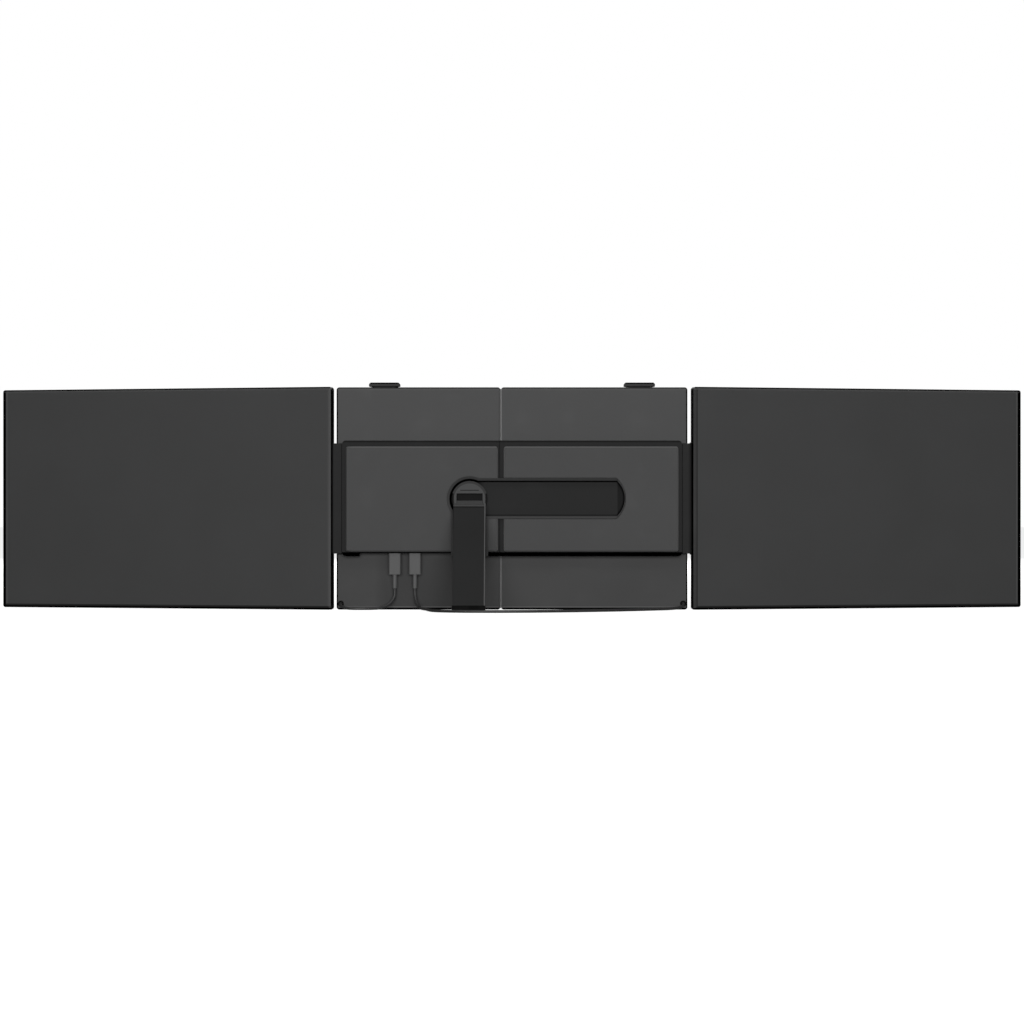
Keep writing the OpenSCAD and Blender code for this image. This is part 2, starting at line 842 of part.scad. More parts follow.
module hub_board() {
    color("darkgreen") {
        block([board_lo_x, board_hi_x], [board_y, board_y + board_t],
            [hub_inner_z + seat, hub_inner_z + seat + board_h]);
        // standoffs
        for (x = [board_lo_x + 3, board_hi_x - 3])
            for (z = [hub_inner_z + 4, hub_inner_z + board_h - 3])
                rod_y(x, [board_y + board_t - seat, casing_back], z, 1.6);
        // controller and memory
        for (x = [board_lo_x + 12, port_free_x + 2])
            block([x - 5, x + 5], [board_y - 1, board_y + seat],
                [hub_inner_z + 11, hub_inner_z + 21]);
    }
}

module hub_sockets() {
    color("silver")
    for (px = port_list)
        difference() {
            slab(around(px, socket_w / 2),
                around(port_y, socket_t / 2),
                [port_mouth_z + socket_gap, port_mouth_z + socket_gap + socket_len], 0.2);
            slab(around(px, socket_w / 2 - socket_wall),
                around(port_y, socket_t / 2 - socket_wall),
                [port_mouth_z - eps, port_mouth_z + socket_len - 0.6], 0.2);
        }
}

// ---------- cords ----------

module plug(px) {
    color("#565656") {
        slab_z(px, plug_w, plug_t, [plug_low_z, plug_top_z], 1.6);
        slab_z(px, tip_w, tip_t, [plug_top_z - seat, plug_top_z + tip_len], tip_r);
    }
}

// an upright bar with rounded corners, centred on a port
module slab_z(px, w, t, z, r) {
    translate([px, port_y, z[0]])
        linear_extrude(height = z[1] - z[0])
            round_rect([-w / 2, w / 2], [-t / 2, t / 2], r);
}

module strain_relief(px) {
    color("#4c4c4c")
    translate([px, port_y, cord_top_z])
        cylinder(r1 = relief_end_r, r2 = relief_top_r, h = relief_len);
}

module grommet(side) {
    color("#222222")
    difference() {
        union() {
            rod_y(side * grommet_x, [casing_back - 0.6, casing_back], grommet_z, grommet_r);
            rod_y(side * grommet_x, [casing_back - 0.3, casing_back + casing_skin],
                grommet_z, grommet_r - grommet_step - run);
        }
        rod_y(side * grommet_x, [casing_back - eps, 0], grommet_z, cord_d / 2 + run);
    }
}

// ---------- kickstand ----------

module turntable() {
    cap_high = turn_r + eps;
    color("#4a4a4b")
    difference() {
        union() {
            rod_y(turn_x, [turn_floor_y, turn_base_y], turn_z, turn_r);
            intersection() {
                rod_y(turn_x, [turn_face_y, turn_base_y], turn_z, turn_r);
                union() {
                    block(around(turn_x, turn_r), [turn_face_y, turn_base_y],
                        [turn_z + turn_cap_z, turn_z + cap_high]);
                    for (s = [-1, 1])
                        block(around(turn_x + s * (knuckle_w / 2 + clear + ear_t / 2), ear_t / 2),
                            [turn_face_y, turn_base_y],
                            [pivot_z - ear_below, turn_z + turn_cap_z + seat]);
                }
            }
            rod_y(turn_x, [turn_base_y - seat, tray_front + clear], turn_z, shaft_r);
            rod_y(turn_x, [tray_front, tray_front + washer_t + nut_t + clear + run], turn_z,
                thread_r);
        }
        rod_x(around(turn_x, turn_r + eps), pivot_y, pivot_z, leg_pin_r);
        block(around(turn_x, turn_line[0] / 2), [turn_face_y - eps, turn_face_y + turn_line[2]],
            around(turn_z + turn_line_z, turn_line[1] / 2));
    }
}

module turntable_washer() {
    color("silver")
    difference() {
        rod_y(turn_x, [washer_y, washer_y + washer_t], turn_z, washer_r);
        rod_y(turn_x, [tray_front - eps, tray_front + 2], turn_z, shaft_r + run);
    }
}

module turntable_nut() {
    low = tray_front + clear + washer_t;
    color("silver")
    difference() {
        rod_y(turn_x, [low, low + nut_t], turn_z, nut_r);
        rod_y(turn_x, [low - eps, low + nut_t + eps], turn_z, thread_r + run / 2);
    }
}

module leg_pin() {
    half = knuckle_w / 2 + clear + ear_t - seat;
    color("silver")
    rod_x(around(turn_x, half), pivot_y, pivot_z, leg_pin_r);
}

// puts a piece of the leg, drawn hanging straight down from its pivot, in its place
module at_leg() {
    translate([turn_x, pivot_y, pivot_z])
        rotate([-leg_tilt, 0, 0])
            children();
}

module kickstand_leg() {
    tip = leg_len - foot_r;
    bevel = 1.2;
    color("#2b2b2c")
    at_leg()
        difference() {
            union() {
                rod_x([-knuckle_w / 2, knuckle_w / 2], 0, 0, leg_t / 2);
                block([-knuckle_w / 2, knuckle_w / 2], [-leg_t / 2, leg_t / 2],
                    [-shoulder - seat, 0]);
                // blade, thinner where the foot grips it
                block([-leg_w / 2, leg_w / 2], [-leg_t / 2, leg_t / 2],
                    [-leg_len + foot_grip, -shoulder]);
                block([-leg_w / 2 + bevel, leg_w / 2 - bevel], [-leg_t / 2 + 0.6, leg_t / 2 - 0.6],
                    [-tip + 0.6, -leg_len + foot_grip + seat]);
            }
            rod_x([-leg_w, leg_w], 0, 0, leg_pin_r + run);
            block([-leg_w, leg_w], [-leg_t / 2 - eps, -leg_t / 2 + leg_line[1]],
                around(leg_line_z, leg_line[0] / 2));
        }
}

module leg_foot() {
    half = leg_w / 2 + 0.4;
    bevel = 1.2;
    color("#161616")
    at_leg()
        difference() {
            union() {
                rod_x([-half, half], 0, -leg_len, foot_r);
                block([-half, half], [-foot_r, foot_r], [-leg_len, -leg_len + foot_grip - seat]);
            }
            block([-leg_w / 2 + bevel - seat / 2, leg_w / 2 - bevel + seat / 2],
                [-leg_t / 2 + 0.55, leg_t / 2 - 0.55],
                [-leg_len + foot_r + 0.5, -leg_len + foot_grip]);
        }
}

// ---------- hinges ----------

// the hinge is five knuckles high; the even ones belong to the casing
knuckle_n = 5;
knuckle_h = hinge_h / knuckle_n;
function knuckle_span(i) = [
    hinge_z + i * knuckle_h + (i == 0 ? 0 : clear / 2),
    hinge_z + (i + 1) * knuckle_h - (i == knuckle_n - 1 ? 0 : clear / 2)
];

module hinge_bracket(side) {
    edge = casing_w / 2;
    a = axis_y(side);
    inner_y = casing_back + casing_skin + seat;
    color("#303032")
    flip_for(side) {
        difference() {
            block([edge - 15, edge - 0.3], [inner_y, casing_front - casing_skin - seat],
                [hinge_z + clear, hinge_z + hinge_h - clear]);
            rod_z(hinge_x, a, [hinge_z, hinge_z + hinge_h], knuckle_r + clear);
        }
        for (i = [0 : 2 : knuckle_n - 1]) {
            z = knuckle_span(i);
            difference() {
                union() {
                    rod_z(hinge_x, a, z, knuckle_r);
                    translate([0, 0, z[0]])
                        linear_extrude(height = z[1] - z[0])
                            arm_outline(side);
                }
                rod_z(hinge_x, a, [z[0] - eps, z[1] + eps], hinge_pin_r + 0.01);
            }
        }
    }
}

// the arm from the casing's edge to the knuckle, seen from above
module arm_outline(side) {
    edge = casing_w / 2;
    a = axis_y(side);
    if (side < 0)
        polygon([[edge - 2, arm_back], [hinge_x, arm_back], [hinge_x, casing_front],
            [edge - 0.6, casing_front], [edge - 2, 1]]);
    else
        polygon([[edge - 2, arm_back], [edge + 3.2, arm_back], [hinge_x + 2.4, a - 1.9],
            [hinge_x, a + knuckle_r], [edge + 1.7, a], [edge - 0.6, casing_front],
            [edge - 2, 1]]);
}

// where the screen's inner face stands at rest, at a given depth
function face_x(side, y) =
    let (reach = axis_y(side) - inset(side) * sin(toe(side)) - y)
        hinge_x - inset(side) * cos(toe(side)) + reach * tan(toe(side));

// dark shield on the back of the casing, from the hub's end to the screen, which
// stops against it when it is fully open
module hinge_shield(side) {
    near = hub_hi + 2 * seat;
    back = casing_back - shield_d;
    gap = clear + seat;
    color("#2f2f31")
    flip_for(side)
        translate([0, 0, hinge_z])
            linear_extrude(height = hinge_h)
                polygon([
                    [near, casing_back], [face_x(side, casing_back) - gap, casing_back],
                    [face_x(side, back + shield_cut) - gap, back + shield_cut],
                    [face_x(side, back) - gap - shield_cut, back], [near, back]
                ]);
}

module hinge_pin(side) {
    head_t = 1.2;
    color("silver")
    translate([side * hinge_x, axis_y(side), 0]) {
        rod_z(0, 0, [hinge_z - seat, hinge_z + hinge_h + seat], hinge_pin_r);
        rod_z(0, 0, [hinge_z - head_t, hinge_z], hinge_pin_r + 1);
        rod_z(0, 0, [hinge_z + hinge_h, hinge_z + hinge_h + head_t], hinge_pin_r + 1);
    }
}

// the web that joins the screen's knuckles to its leaf, seen from above
module leaf_web(side, grow) {
    u = [-inset(side) - (grow > 0 ? eps : 0), (side < 0 ? web_left : web_right) + grow];
    v = side < 0
        ? [front_v(side) - web_depth - grow, -hinge_pin_r + clear]
        : [front_v(side), -screen_step];
    translate([u[0], v[0]])
        square([u[1] - u[0], v[1] - v[0]]);
}

module hinge_leaf(side) {
    z = [hinge_z + clear, hinge_z + hinge_h - clear];
    color("#303032")
    at_screen(side)
        difference() {
            union() {
                block([-inset(side), -inset(side) + leaf_t], [back_v(side) + 2.2, front_v(side)],
                    z);
                for (i = [1 : 2 : knuckle_n - 1]) {
                    span = knuckle_span(i);
                    rod_z(0, 0, span, knuckle_r);
                    translate([0, 0, span[0]])
                        linear_extrude(height = span[1] - span[0])
                            leaf_web(side, 0);
                }
            }
            for (i = [0 : 2 : knuckle_n - 1])
                rod_z(0, 0, [knuckle_span(i)[0] - clear, knuckle_span(i)[1] + clear],
                    knuckle_r + clear);
            rod_z(0, 0, [hinge_z - eps, hinge_z + hinge_h + eps], hinge_pin_r + 0.06);
        }
}

// what the bezel and the back cover leave free for the hinge
module hinge_room(side) {
    z = [hinge_z - 0.4, hinge_z + hinge_h + 0.4];
    block([-inset(side) - eps, -inset(side) + leaf_t + seat],
        [back_v(side) + 2.1, front_v(side) + eps], [z[0] + 0.5, z[1] - 0.5]);
    rod_z(0, 0, [z[0] - 1.2, z[1] + 1.2], knuckle_r + clear);
    if (side < 0)
        translate([0, 0, z[0]])
            linear_extrude(height = z[1] - z[0])
                leaf_web(side, seat);
}

// ---------- screens ----------

module back_cover(side) {
    u = [-inset(side), far_u(side)];
    v = [back_v(side), seam_v(side)];
    color("#3b3b3c")
    at_screen(side)
        difference() {
            bevelled_slab(u, v, [0, screen_h], screen_r, cover_bevel_w, cover_bevel_d);
            slab([u[0] + cover_wall + cavity_gap, u[1] - cover_wall - cavity_gap],
                [v[0] + cover_skin + cavity_step, v[1] + eps],
                [cover_wall + cavity_gap, screen_h - cover_wall - cavity_gap], 1);
            hinge_room(side);
            button_holes(side, run * 3);
        }
}

module bezel(side) {
    step = 0.35;
    u = [-inset(side) + step, far_u(side) - step];
    v = [seam_v(side), front_v(side)];
    low = bezel_low;
    color("#1c1c1d")
    at_screen(side)
        difference() {
            slab(u, v, [step, screen_h - step], screen_r);
            slab([-inset(side) + bezel_side, far_u(side) - bezel_side],
                [v[0] - eps, v[1] + eps], [low, low + active_h], 1);
            // rebate for the display
            block([-inset(side) + bezel_side - panel_lip - seat,
                    far_u(side) - bezel_side + panel_lip + seat],
                [v[0] - eps, v[1] - bezel_skin],
                [low - panel_lip - seat, low + active_h + panel_lip + seat]);
            hinge_room(side);
        }
}

module display(side) {
    low = bezel_low;
    back = front_v(side) - bezel_skin;
    color("#101214")
    at_screen(side)
        block([-inset(side) + bezel_side - panel_lip, far_u(side) - bezel_side + panel_lip],
            [back - panel_t, back], [low - panel_lip, low + active_h + panel_lip]);
}

module driver_board(side) {
    floor_v = back_v(side) + cover_skin + cavity_step;
    v = [floor_v, floor_v + board_t];
    far = far_u(side) - cover_wall - 1;
    switch_u = far_u(side) - cover_wall - cavity_gap - clear - button_flange - switch_gap;
    color("darkgreen")
    at_screen(side) {
        block([far - driver_w, far - seat], v, [driver_z, driver_z + driver_h]);
        block([far - strip_w, far - seat], v,
            [driver_z + driver_h - seat, menu_z + menu_h + strip_top]);
        // switches behind the two buttons
        for (span = [[power_z, power_h], [menu_z, menu_h]])
            block([far - switch_reach, switch_u],
                [v[1] - seat, front_v(side) - bezel_skin - panel_t - clear],
                [span[0] + 2, span[0] + span[1] - 2]);
    }
}

module button_holes(side, grow) {
    button_shape(side, power_z, power_h, grow, eps);
    button_shape(side, menu_z, menu_h, grow, eps);
}

// a button's cap through the outer side wall, drawn from the wall's inside
module button_shape(side, z, h, grow, extra) {
    far = far_u(side);
    block([far - cover_wall - 1 - extra, far + button_proud + extra],
        around(back_v(side) + button_v, button_w / 2 + grow),
        [z - grow, z + h + grow]);
}

module button(side, z, h) {
    inner = far_u(side) - cover_wall - cavity_gap - clear;
    color("#1a1a1a")
    at_screen(side) {
        block([inner - seat, far_u(side) + button_proud],
            around(back_v(side) + button_v, button_w / 2), [z, z + h]);
        // flange that keeps the button in
        block([inner - button_flange, inner],
            around(back_v(side) + button_v, button_w / 2 + 0.5),
            [z - 0.8, z + h + 0.8]);
    }
}

// ---------- the nodes ----------

module casing_colour() {
    color("#444446") children();
}

module cover_colour() {
    color("#4a4a4b") children();
}

casing_colour() back_shell(left);  // left_back_shell
casing_colour() front_panel(left);  // left_front_panel
color("silver") case_screws(left);  // left_case_screws
color("#1b1b1b") lid_pads(left);  // left_lid_pads
color("#262627") hub_case(left);  // left_hub_case
cover_colour() hub_cover(left);  // left_hub_cover
slide_tongue();
tray_screws();
kickstand_tray();
hub_board();
hub_sockets();
hinge_bracket(left);  // left_hinge_bracket
hinge_shield(left);  // left_hinge_shield
hinge_pin(left);  // left_hinge_pin
grommet(left);  // left_grommet
plug(plug_left_x);  // left_plug
strain_relief(plug_left_x);  // left_strain_relief
color("#1a1a1a") tube(left_route, cord_d / 2);  // left_cord
plug(plug_right_x);  // right_plug
strain_relief(plug_right_x);  // right_strain_relief
color("#1a1a1a") tube(right_route_start, cord_d / 2);  // right_cord_start
color("silver") clip_spring(left);  // left_clip_spring
turntable();
turntable_nut();
turntable_washer();
leg_pin();
kickstand_leg();
leg_foot();
color("#323233") clip(left);  // left_clip
color("#1b1b1b") clip_pad(left);  // left_clip_pad
color("#323233") clip(right);  // right_clip
color("#1b1b1b") clip_pad(right);  // right_clip_pad
casing_colour() back_shell(right);  // right_back_shell
casing_colour() front_panel(right);  // right_front_panel
color("silver") case_screws(right);  // right_case_screws
color("#1b1b1b") lid_pads(right);  // right_lid_pads
color("#262627") hub_case(right);  // right_hub_case
cover_colour() hub_cover(right);  // right_hub_cover
slide_glides();
hinge_bracket(right);  // right_hinge_bracket
hinge_shield(right);  // right_hinge_shield
hinge_pin(right);  // right_hinge_pin
grommet(right);  // right_grommet
color("#1a1a1a") tube(right_route_end, cord_d / 2);  // right_cord_end
color("silver") clip_spring(right);  // right_clip_spring
back_cover(left);  // left_back_cover
bezel(left);  // left_bezel
display(left);  // left_display
driver_board(left);  // left_driver_board
hinge_leaf(left);  // left_hinge_leaf
button(left, power_z, power_h);  // left_power_button
button(left, menu_z, menu_h);  // left_menu_button
back_cover(right);  // right_back_cover
bezel(right);  // right_bezel
display(right);  // right_display
driver_board(right);  // right_driver_board
hinge_leaf(right);  // right_hinge_leaf
button(right, power_z, power_h);  // right_power_button
button(right, menu_z, menu_h);  // right_menu_button
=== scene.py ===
# %% [markdown]
# # Dressing a folding laptop screen extender
#
# The real object is two portable displays hinged on a flat casing that slides open to
# fit a laptop's lid. A hub box on its back holds the electronics and a kickstand that
# folds into a slot. The solids come packed from CAD, already in place and in metres.
# This lesson keeps them as a fixed frame, rounds their edges, builds the small things
# that repeat, gives everything a finish, and lights it.

import json
import math

import bmesh
import bpy
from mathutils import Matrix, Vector


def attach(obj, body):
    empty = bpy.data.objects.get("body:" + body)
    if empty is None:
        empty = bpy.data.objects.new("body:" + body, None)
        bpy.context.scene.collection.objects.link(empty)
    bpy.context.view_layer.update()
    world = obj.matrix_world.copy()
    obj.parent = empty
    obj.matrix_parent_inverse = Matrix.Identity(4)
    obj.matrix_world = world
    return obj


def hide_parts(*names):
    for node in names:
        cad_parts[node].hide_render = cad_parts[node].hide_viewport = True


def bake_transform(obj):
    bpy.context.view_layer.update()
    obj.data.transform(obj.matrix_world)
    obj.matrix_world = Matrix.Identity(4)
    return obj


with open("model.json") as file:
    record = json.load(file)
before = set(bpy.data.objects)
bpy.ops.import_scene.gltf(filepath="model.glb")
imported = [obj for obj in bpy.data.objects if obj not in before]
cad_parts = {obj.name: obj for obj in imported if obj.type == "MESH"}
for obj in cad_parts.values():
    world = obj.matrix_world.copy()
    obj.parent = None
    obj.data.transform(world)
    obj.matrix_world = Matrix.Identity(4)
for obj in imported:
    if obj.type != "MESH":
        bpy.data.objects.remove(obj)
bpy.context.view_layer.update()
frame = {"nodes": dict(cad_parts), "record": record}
MM = 0.001
BODY_OF = {
    node: body
    for body, nodes in frame["record"]["behaviour"]["bodies"].items()
    for node in nodes
}

# %% [markdown]
# ## The camera
#
# A catalogue picture of a wide, flat thing is taken from far away with a long lens, so
# that the plates stay square. The camera stands level behind the screens, at the
# height of the middle of the hub, and looks along +Y.

# %% Stand the camera
CAMERA_DISTANCE, CAMERA_HEIGHT = 3.7, 0.0975
LENS, SENSOR = 130.08, 36


def stand_camera():
    camera = bpy.data.objects.new("camera", bpy.data.cameras.new("camera"))
    bpy.context.scene.collection.objects.link(camera)
    camera.location = (0, -CAMERA_DISTANCE, CAMERA_HEIGHT)
    camera.rotation_euler = (math.radians(90), 0, 0)
    camera.data.lens = LENS
    camera.data.sensor_width = SENSOR
    camera.data.clip_start = 0.1
    camera.data.clip_end = 60
    bpy.context.scene.camera = camera


stand_camera()
print("picture is", round(CAMERA_DISTANCE * SENSOR / LENS, 3), "m wide at the casing")

# %% [markdown]
# ## The two screen leads
#
# Each screen has one thin lead with power and picture. It comes straight down out of a
# plug under the hub, bends on to the desk under its own weight and goes back into the
# casing through a rubber ring. A tube swept along a list of points keeps the same
# thickness all the way. A curve object would do that too. The right lead runs between
# the two sliding halves.

# %% Sweep the leads
CORD_D = 2.8 * MM
PORT_Y = -7.2
RELIEF_LOW = 21.4
LEFT_ROUTE = [
    (-117, PORT_Y, RELIEF_LOW), (-117, PORT_Y, 16.6), (-117.8, -7.8, 12.2),
    (-120.5, -9.6, 7.8), (-125, -12.5, 4.2), (-131, -16, 2.1), (-138, -19.5, 1.5),
    (-146, -22.5, 1.5), (-154, -23.4, 1.5), (-161, -21.6, 1.6), (-166.6, -17.4, 2.2),
    (-170, -12.2, 3.8), (-171, -7.6, 5.4), (-171, -4.4, 5.95), (-171, -1.2, 6),
]
RIGHT_ROUTE = [
    (-96.9, PORT_Y, RELIEF_LOW), (-96.9, PORT_Y, 16.6), (-96.4, -8.2, 12.2),
    (-95.2, -11.2, 7.8), (-93.4, -15.8, 4.2), (-91, -22, 2.1), (-88.5, -29.5, 1.5),
    (-86, -40, 1.5), (-84, -52, 1.5), (-82.5, -65, 1.5), (-81, -78, 1.5),
    (-79, -91, 1.5), (-75.5, -103, 1.5), (-69, -113.5, 1.5), (-59.5, -121.5, 1.5),
    (-48, -126.8, 1.5), (-35, -129.6, 1.5), (-21, -130.4, 1.5), (-6, -129.6, 1.5),
    (9, -127, 1.5), (24, -123, 1.5), (39, -117.6, 1.5), (54, -111, 1.5),
    (69, -103.2, 1.5), (84, -94.4, 1.5), (98, -85, 1.5), (111, -75, 1.5),
    (123, -64.6, 1.5), (134, -54, 1.5), (144, -43.4, 1.5), (153, -33.2, 1.5),
    (160.6, -24.6, 1.7), (166.4, -17.6, 2.4), (170, -11.8, 3.9), (171, -7.4, 5.4),
    (171, -4.4, 5.95), (171, -1.2, 6),
]


def smooth(route, steps=6):
    """A curve through every point of the route, in metres."""
    points = [Vector(p) * MM for p in route]
    points = [points[0]] + points + [points[-1]]
    path = []
    for a, b, c, d in zip(points, points[1:], points[2:], points[3:]):
        for k in range(steps):
            t = k / steps
            path.append(0.5 * (2 * b + (c - a) * t + (2 * a - 5 * b + 4 * c - d) * t * t
                               + (3 * b - 3 * c + d - a) * t ** 3))
    return path + [points[-1]]


def length_of(path):
    return sum((b - a).length for a, b in zip(path, path[1:]))


def lay_rings(mesh, path, radius, sides):
    """Rings of points square to the path, each turned as little as the path lets it."""
    across = Vector((1, 0, 0))
    turns = [2 * math.pi * k / sides for k in range(sides)]
    rings = []
    for i, point in enumerate(path):
        ahead = (path[min(i + 1, len(path) - 1)] - path[max(i - 1, 0)]).normalized()
        across = (across - ahead * across.dot(ahead)).normalized()
        up = ahead.cross(across)
        rings.append([
            mesh.verts.new(point + radius * (math.cos(a) * across + math.sin(a) * up))
            for a in turns
        ])
    return rings


def sweep_tube(name, path, radius, sides=16):
    """A closed tube along the path, with U round it and V along it in metres."""
    mesh = bmesh.new()
    layer = mesh.loops.layers.uv.new("cord")
    rings = lay_rings(mesh, path, radius, sides)
    along = [length_of(path[:i + 1]) for i in range(len(path))]
    for i in range(len(rings) - 1):
        for k in range(sides):
            j = (k + 1) % sides
            face = mesh.faces.new((rings[i][k], rings[i][j], rings[i + 1][j],
                                   rings[i + 1][k]))
            face.smooth = True
            places = [(k, i), (k + 1, i), (k + 1, i + 1), (k, i + 1)]
            for loop, (u, v) in zip(face.loops, places):
                loop[layer].uv = (u / sides, along[v])
    mesh.faces.new(list(reversed(rings[0])))
    mesh.faces.new(rings[-1])
    return add_piece(name, mesh)


def add_piece(name, mesh):
    """Turns a bmesh into an object at the origin."""
    data = bpy.data.meshes.new(name)
    mesh.to_mesh(data)
    mesh.free()
    piece = bpy.data.objects.new(name, data)
    bpy.context.scene.collection.objects.link(piece)
    return piece


left_path, right_path = smooth(LEFT_ROUTE), smooth(RIGHT_ROUTE)
left_lead = sweep_tube("left_screen_lead", left_path, CORD_D / 2)
right_lead = sweep_tube("right_screen_lead", right_path, CORD_D / 2)
print("left lead", round(length_of(left_path), 3), "m, right lead",
      round(length_of(right_path), 3), "m")

# %% [markdown]
# ## Writing node trees as Python
#
# A finish and a pattern are both trees of nodes. One small class makes any node from
# its type, its settings and its sockets, and another wraps an output so that ordinary
# arithmetic on it adds the Math nodes. The recipes below then read like formulas.

# %% A node tree and its values
class Value:
    """The output of a node, on which + - * / add Math nodes."""

    def __init__(self, tree, socket):
        self.tree, self.socket = tree, socket

    def math(self, operation, a, b):
        kind = "ShaderNodeMath"
        return self.tree.node(kind, {"operation": operation}, {0: a, 1: b})

    def __add__(self, other):
        return self.math("ADD", self, other)

    def __sub__(self, other):
        return self.math("SUBTRACT", self, other)

    def __rsub__(self, other):
        return self.math("SUBTRACT", other, self)

    def __mul__(self, other):
        return self.math("MULTIPLY", self, other)

    def __truediv__(self, other):
        return self.math("DIVIDE", self, other)

    __radd__ = __add__
    __rmul__ = __mul__


class Tree:
    """A node tree with one method that makes every node."""

    def __init__(self, tree):
        self.tree = tree

    def node(self, kind, settings=None, sockets=None, out=0):
        made = self.tree.nodes.new(kind)
        for key, value in (settings or {}).items():
            setattr(made, key, value)
        for key, value in (sockets or {}).items():
            self.feed(made.inputs[key], value)
        return Value(self, made.outputs[out]) if made.outputs else made

    def feed(self, socket, value):
        if isinstance(value, Value):
            self.tree.links.new(value.socket, socket)
        else:
            socket.default_value = value


print("made the classes", Value.__name__, "and", Tree.__name__)

# %% [markdown]
# ## A finish
#
# A finish is a tree that ends in one Principled surface. Its places are in millimetres
# on the object, so a noise has a real size, and a band or a ramp can sit on an edge.

# %% The finish class
def grey(tone, warmth=0.0):
    """A near-neutral colour: warmth above 0 is a little warmer, below 0 cooler."""
    return (tone * (1 + warmth), tone, tone * (1 - warmth), 1)


class Finish(Tree):
    """A material: a Principled surface and the few recipes that feed it."""

    def __init__(self, name):
        self.material = bpy.data.materials.new(name)
        self.material.use_nodes = True
        super().__init__(self.material.node_tree)
        self.tree.nodes.clear()
        self.place = self.node("ShaderNodeTexCoord", out="Object")
        self.axes = {}

    def mm(self, axis):
        """One coordinate of the surface in millimetres, 0 for X, 1 for Y and 2 for Z."""
        if axis not in self.axes:
            sockets = {0: self.place}
            self.axes[axis] = self.node("ShaderNodeSeparateXYZ", {}, sockets, axis) / MM
        return self.axes[axis]

    def noise(self, size_mm, detail=2.0, stretch=(1, 1, 1)):
        """Noise with grains of about this size, from 0 to 1."""
        place = self.node("ShaderNodeMapping", {}, {"Vector": self.place, "Scale": stretch})
        scale = 1 / (size_mm * MM)
        sockets = {"Vector": place, "Scale": scale, "Detail": detail}
        return self.node("ShaderNodeTexNoise", {}, sockets)

    def ramp(self, value, low, high):
        """0 below low, 1 above high."""
        return self.node("ShaderNodeMapRange", {"clamp": True},
                         {"Value": value, "From Min": low, "From Max": high})

    def size_of(self, value):
        """The value without its sign, as both sides of the object share most marks."""
        return value.math("ABSOLUTE", value, 0.0)

    def band(self, value, low, high, soft=0.2):
        """1 between low and high, 0 outside them."""
        return self.ramp(value, low - soft, low) * self.ramp(value, high + soft, high)

    def outside(self, middle, inner, outer):
        """0 within a radius of a line along Y through a middle (x, z), 1 further out."""
        across, up = self.mm(0) - middle[0], self.mm(2) - middle[1]
        return self.ramp(across * across + up * up, inner ** 2, outer ** 2)

    def mix(self, share, a, b):
        """Colour a where the share is 0 and colour b where it is 1."""
        kind, settings = "ShaderNodeMix", {"data_type": "RGBA"}
        return self.node(kind, settings, {0: share, 6: a, 7: b}, out=2)

    def bump(self, height, depth_mm, strength):
        sockets = {"Height": height, "Distance": depth_mm * MM, "Strength": strength}
        return self.node("ShaderNodeBump", {}, sockets)

    def surface(self, **sockets):
        """Ends the tree. Keys are the surface's sockets with _ for a space."""
        named = {key.replace("_", " "): value for key, value in sockets.items()}
        shader = self.node("ShaderNodeBsdfPrincipled", {}, named)
        self.node("ShaderNodeOutputMaterial", {}, {"Surface": shader})
        return self.material


print("made the class", Finish.__name__)

# %% [markdown]
# ## Moulded and painted shells
#
# The casing is sheet metal with a fine sanded coating. The screens' backs, the hub's
# covers and its dark rim are moulded plastic that took its grain from an etched tool.
# All are near-black greys that a camera mostly sees by their soft sheen, so one recipe
# serves them: a fine grain in the bump, a slow cloud in the tone and in the gloss, and a
# few faint rubbed places. A picture of the surface would be quicker, but it would
# stretch on the edges, and noise on object coordinates never does.

# %% The shell finish
CLOUD_MM, RUBBED_MM = 70, 22


def shell_finish(name, tone, gloss, grain_mm, depth_mm, sheen=0.3, marks=None, spread=0.12):
    """Marks are places of another tone, mostly painted light and shade, as share and factor
    pairs.
    """
    finish = Finish(name)
    grain = finish.noise(grain_mm, 2.0)
    cloud = finish.noise(CLOUD_MM, 4.0)
    rubbed = finish.ramp(finish.noise(RUBBED_MM, 5.0), 0.55, 0.75)
    share = cloud * 0.7 + grain * 0.3
    colour = finish.mix(share, grey(tone * (1 - spread)), grey(tone * (1 + spread), -0.01))
    black = 0.0
    for share, factor in marks(finish) if marks else []:
        colour = finish.mix(share, colour, grey(tone * factor))
        if factor == 0:
            # painted shade: where a mark is black, the surface is also a black metal that
            # reflects nothing, as the mouth of a gap
            black = share.math("MAXIMUM", share, black)
    rough = gloss + (cloud - 0.5) * 0.10 + (grain - 0.5) * 0.08 - rubbed * 0.035
    return finish.surface(
        Base_Color=colour, Roughness=rough, Metallic=black, Specular_IOR_Level=sheen,
        Normal=finish.bump(grain, depth_mm, 0.6),
    )


print("casing clouds are", CLOUD_MM, "mm wide, rubbed places", RUBBED_MM, "mm")

# %% [markdown]
# ## Marks along the edges
#
# A dark object's drawing is in its edges. Most marks here are painted light: a painted
# highlight brightens an edge that faces the lamps, painted shade darkens the foot of a
# wall, a recess, the casing under the hub and the faces that turn away, and a gap is
# painted black. Most marks below are stripes within a few millimetres of an edge of
# their own CAD node, with the factor on the tone beside them. Those edges are read from
# the frame, so the stripes follow the part. The places inside the slot, the hinge axis
# and the plugs are given in millimetres.

# %% Where the marks lie
def span_of(node, axis):
    """Where a CAD node starts and ends along an axis, in mm."""
    places = [v.co[axis] / MM for v in frame["nodes"][node].data.vertices]
    return min(places), max(places)


def middle_of(node):
    """The middle of a CAD node in X and Z, in mm."""
    return sum(span_of(node, 0)) / 2, sum(span_of(node, 2)) / 2


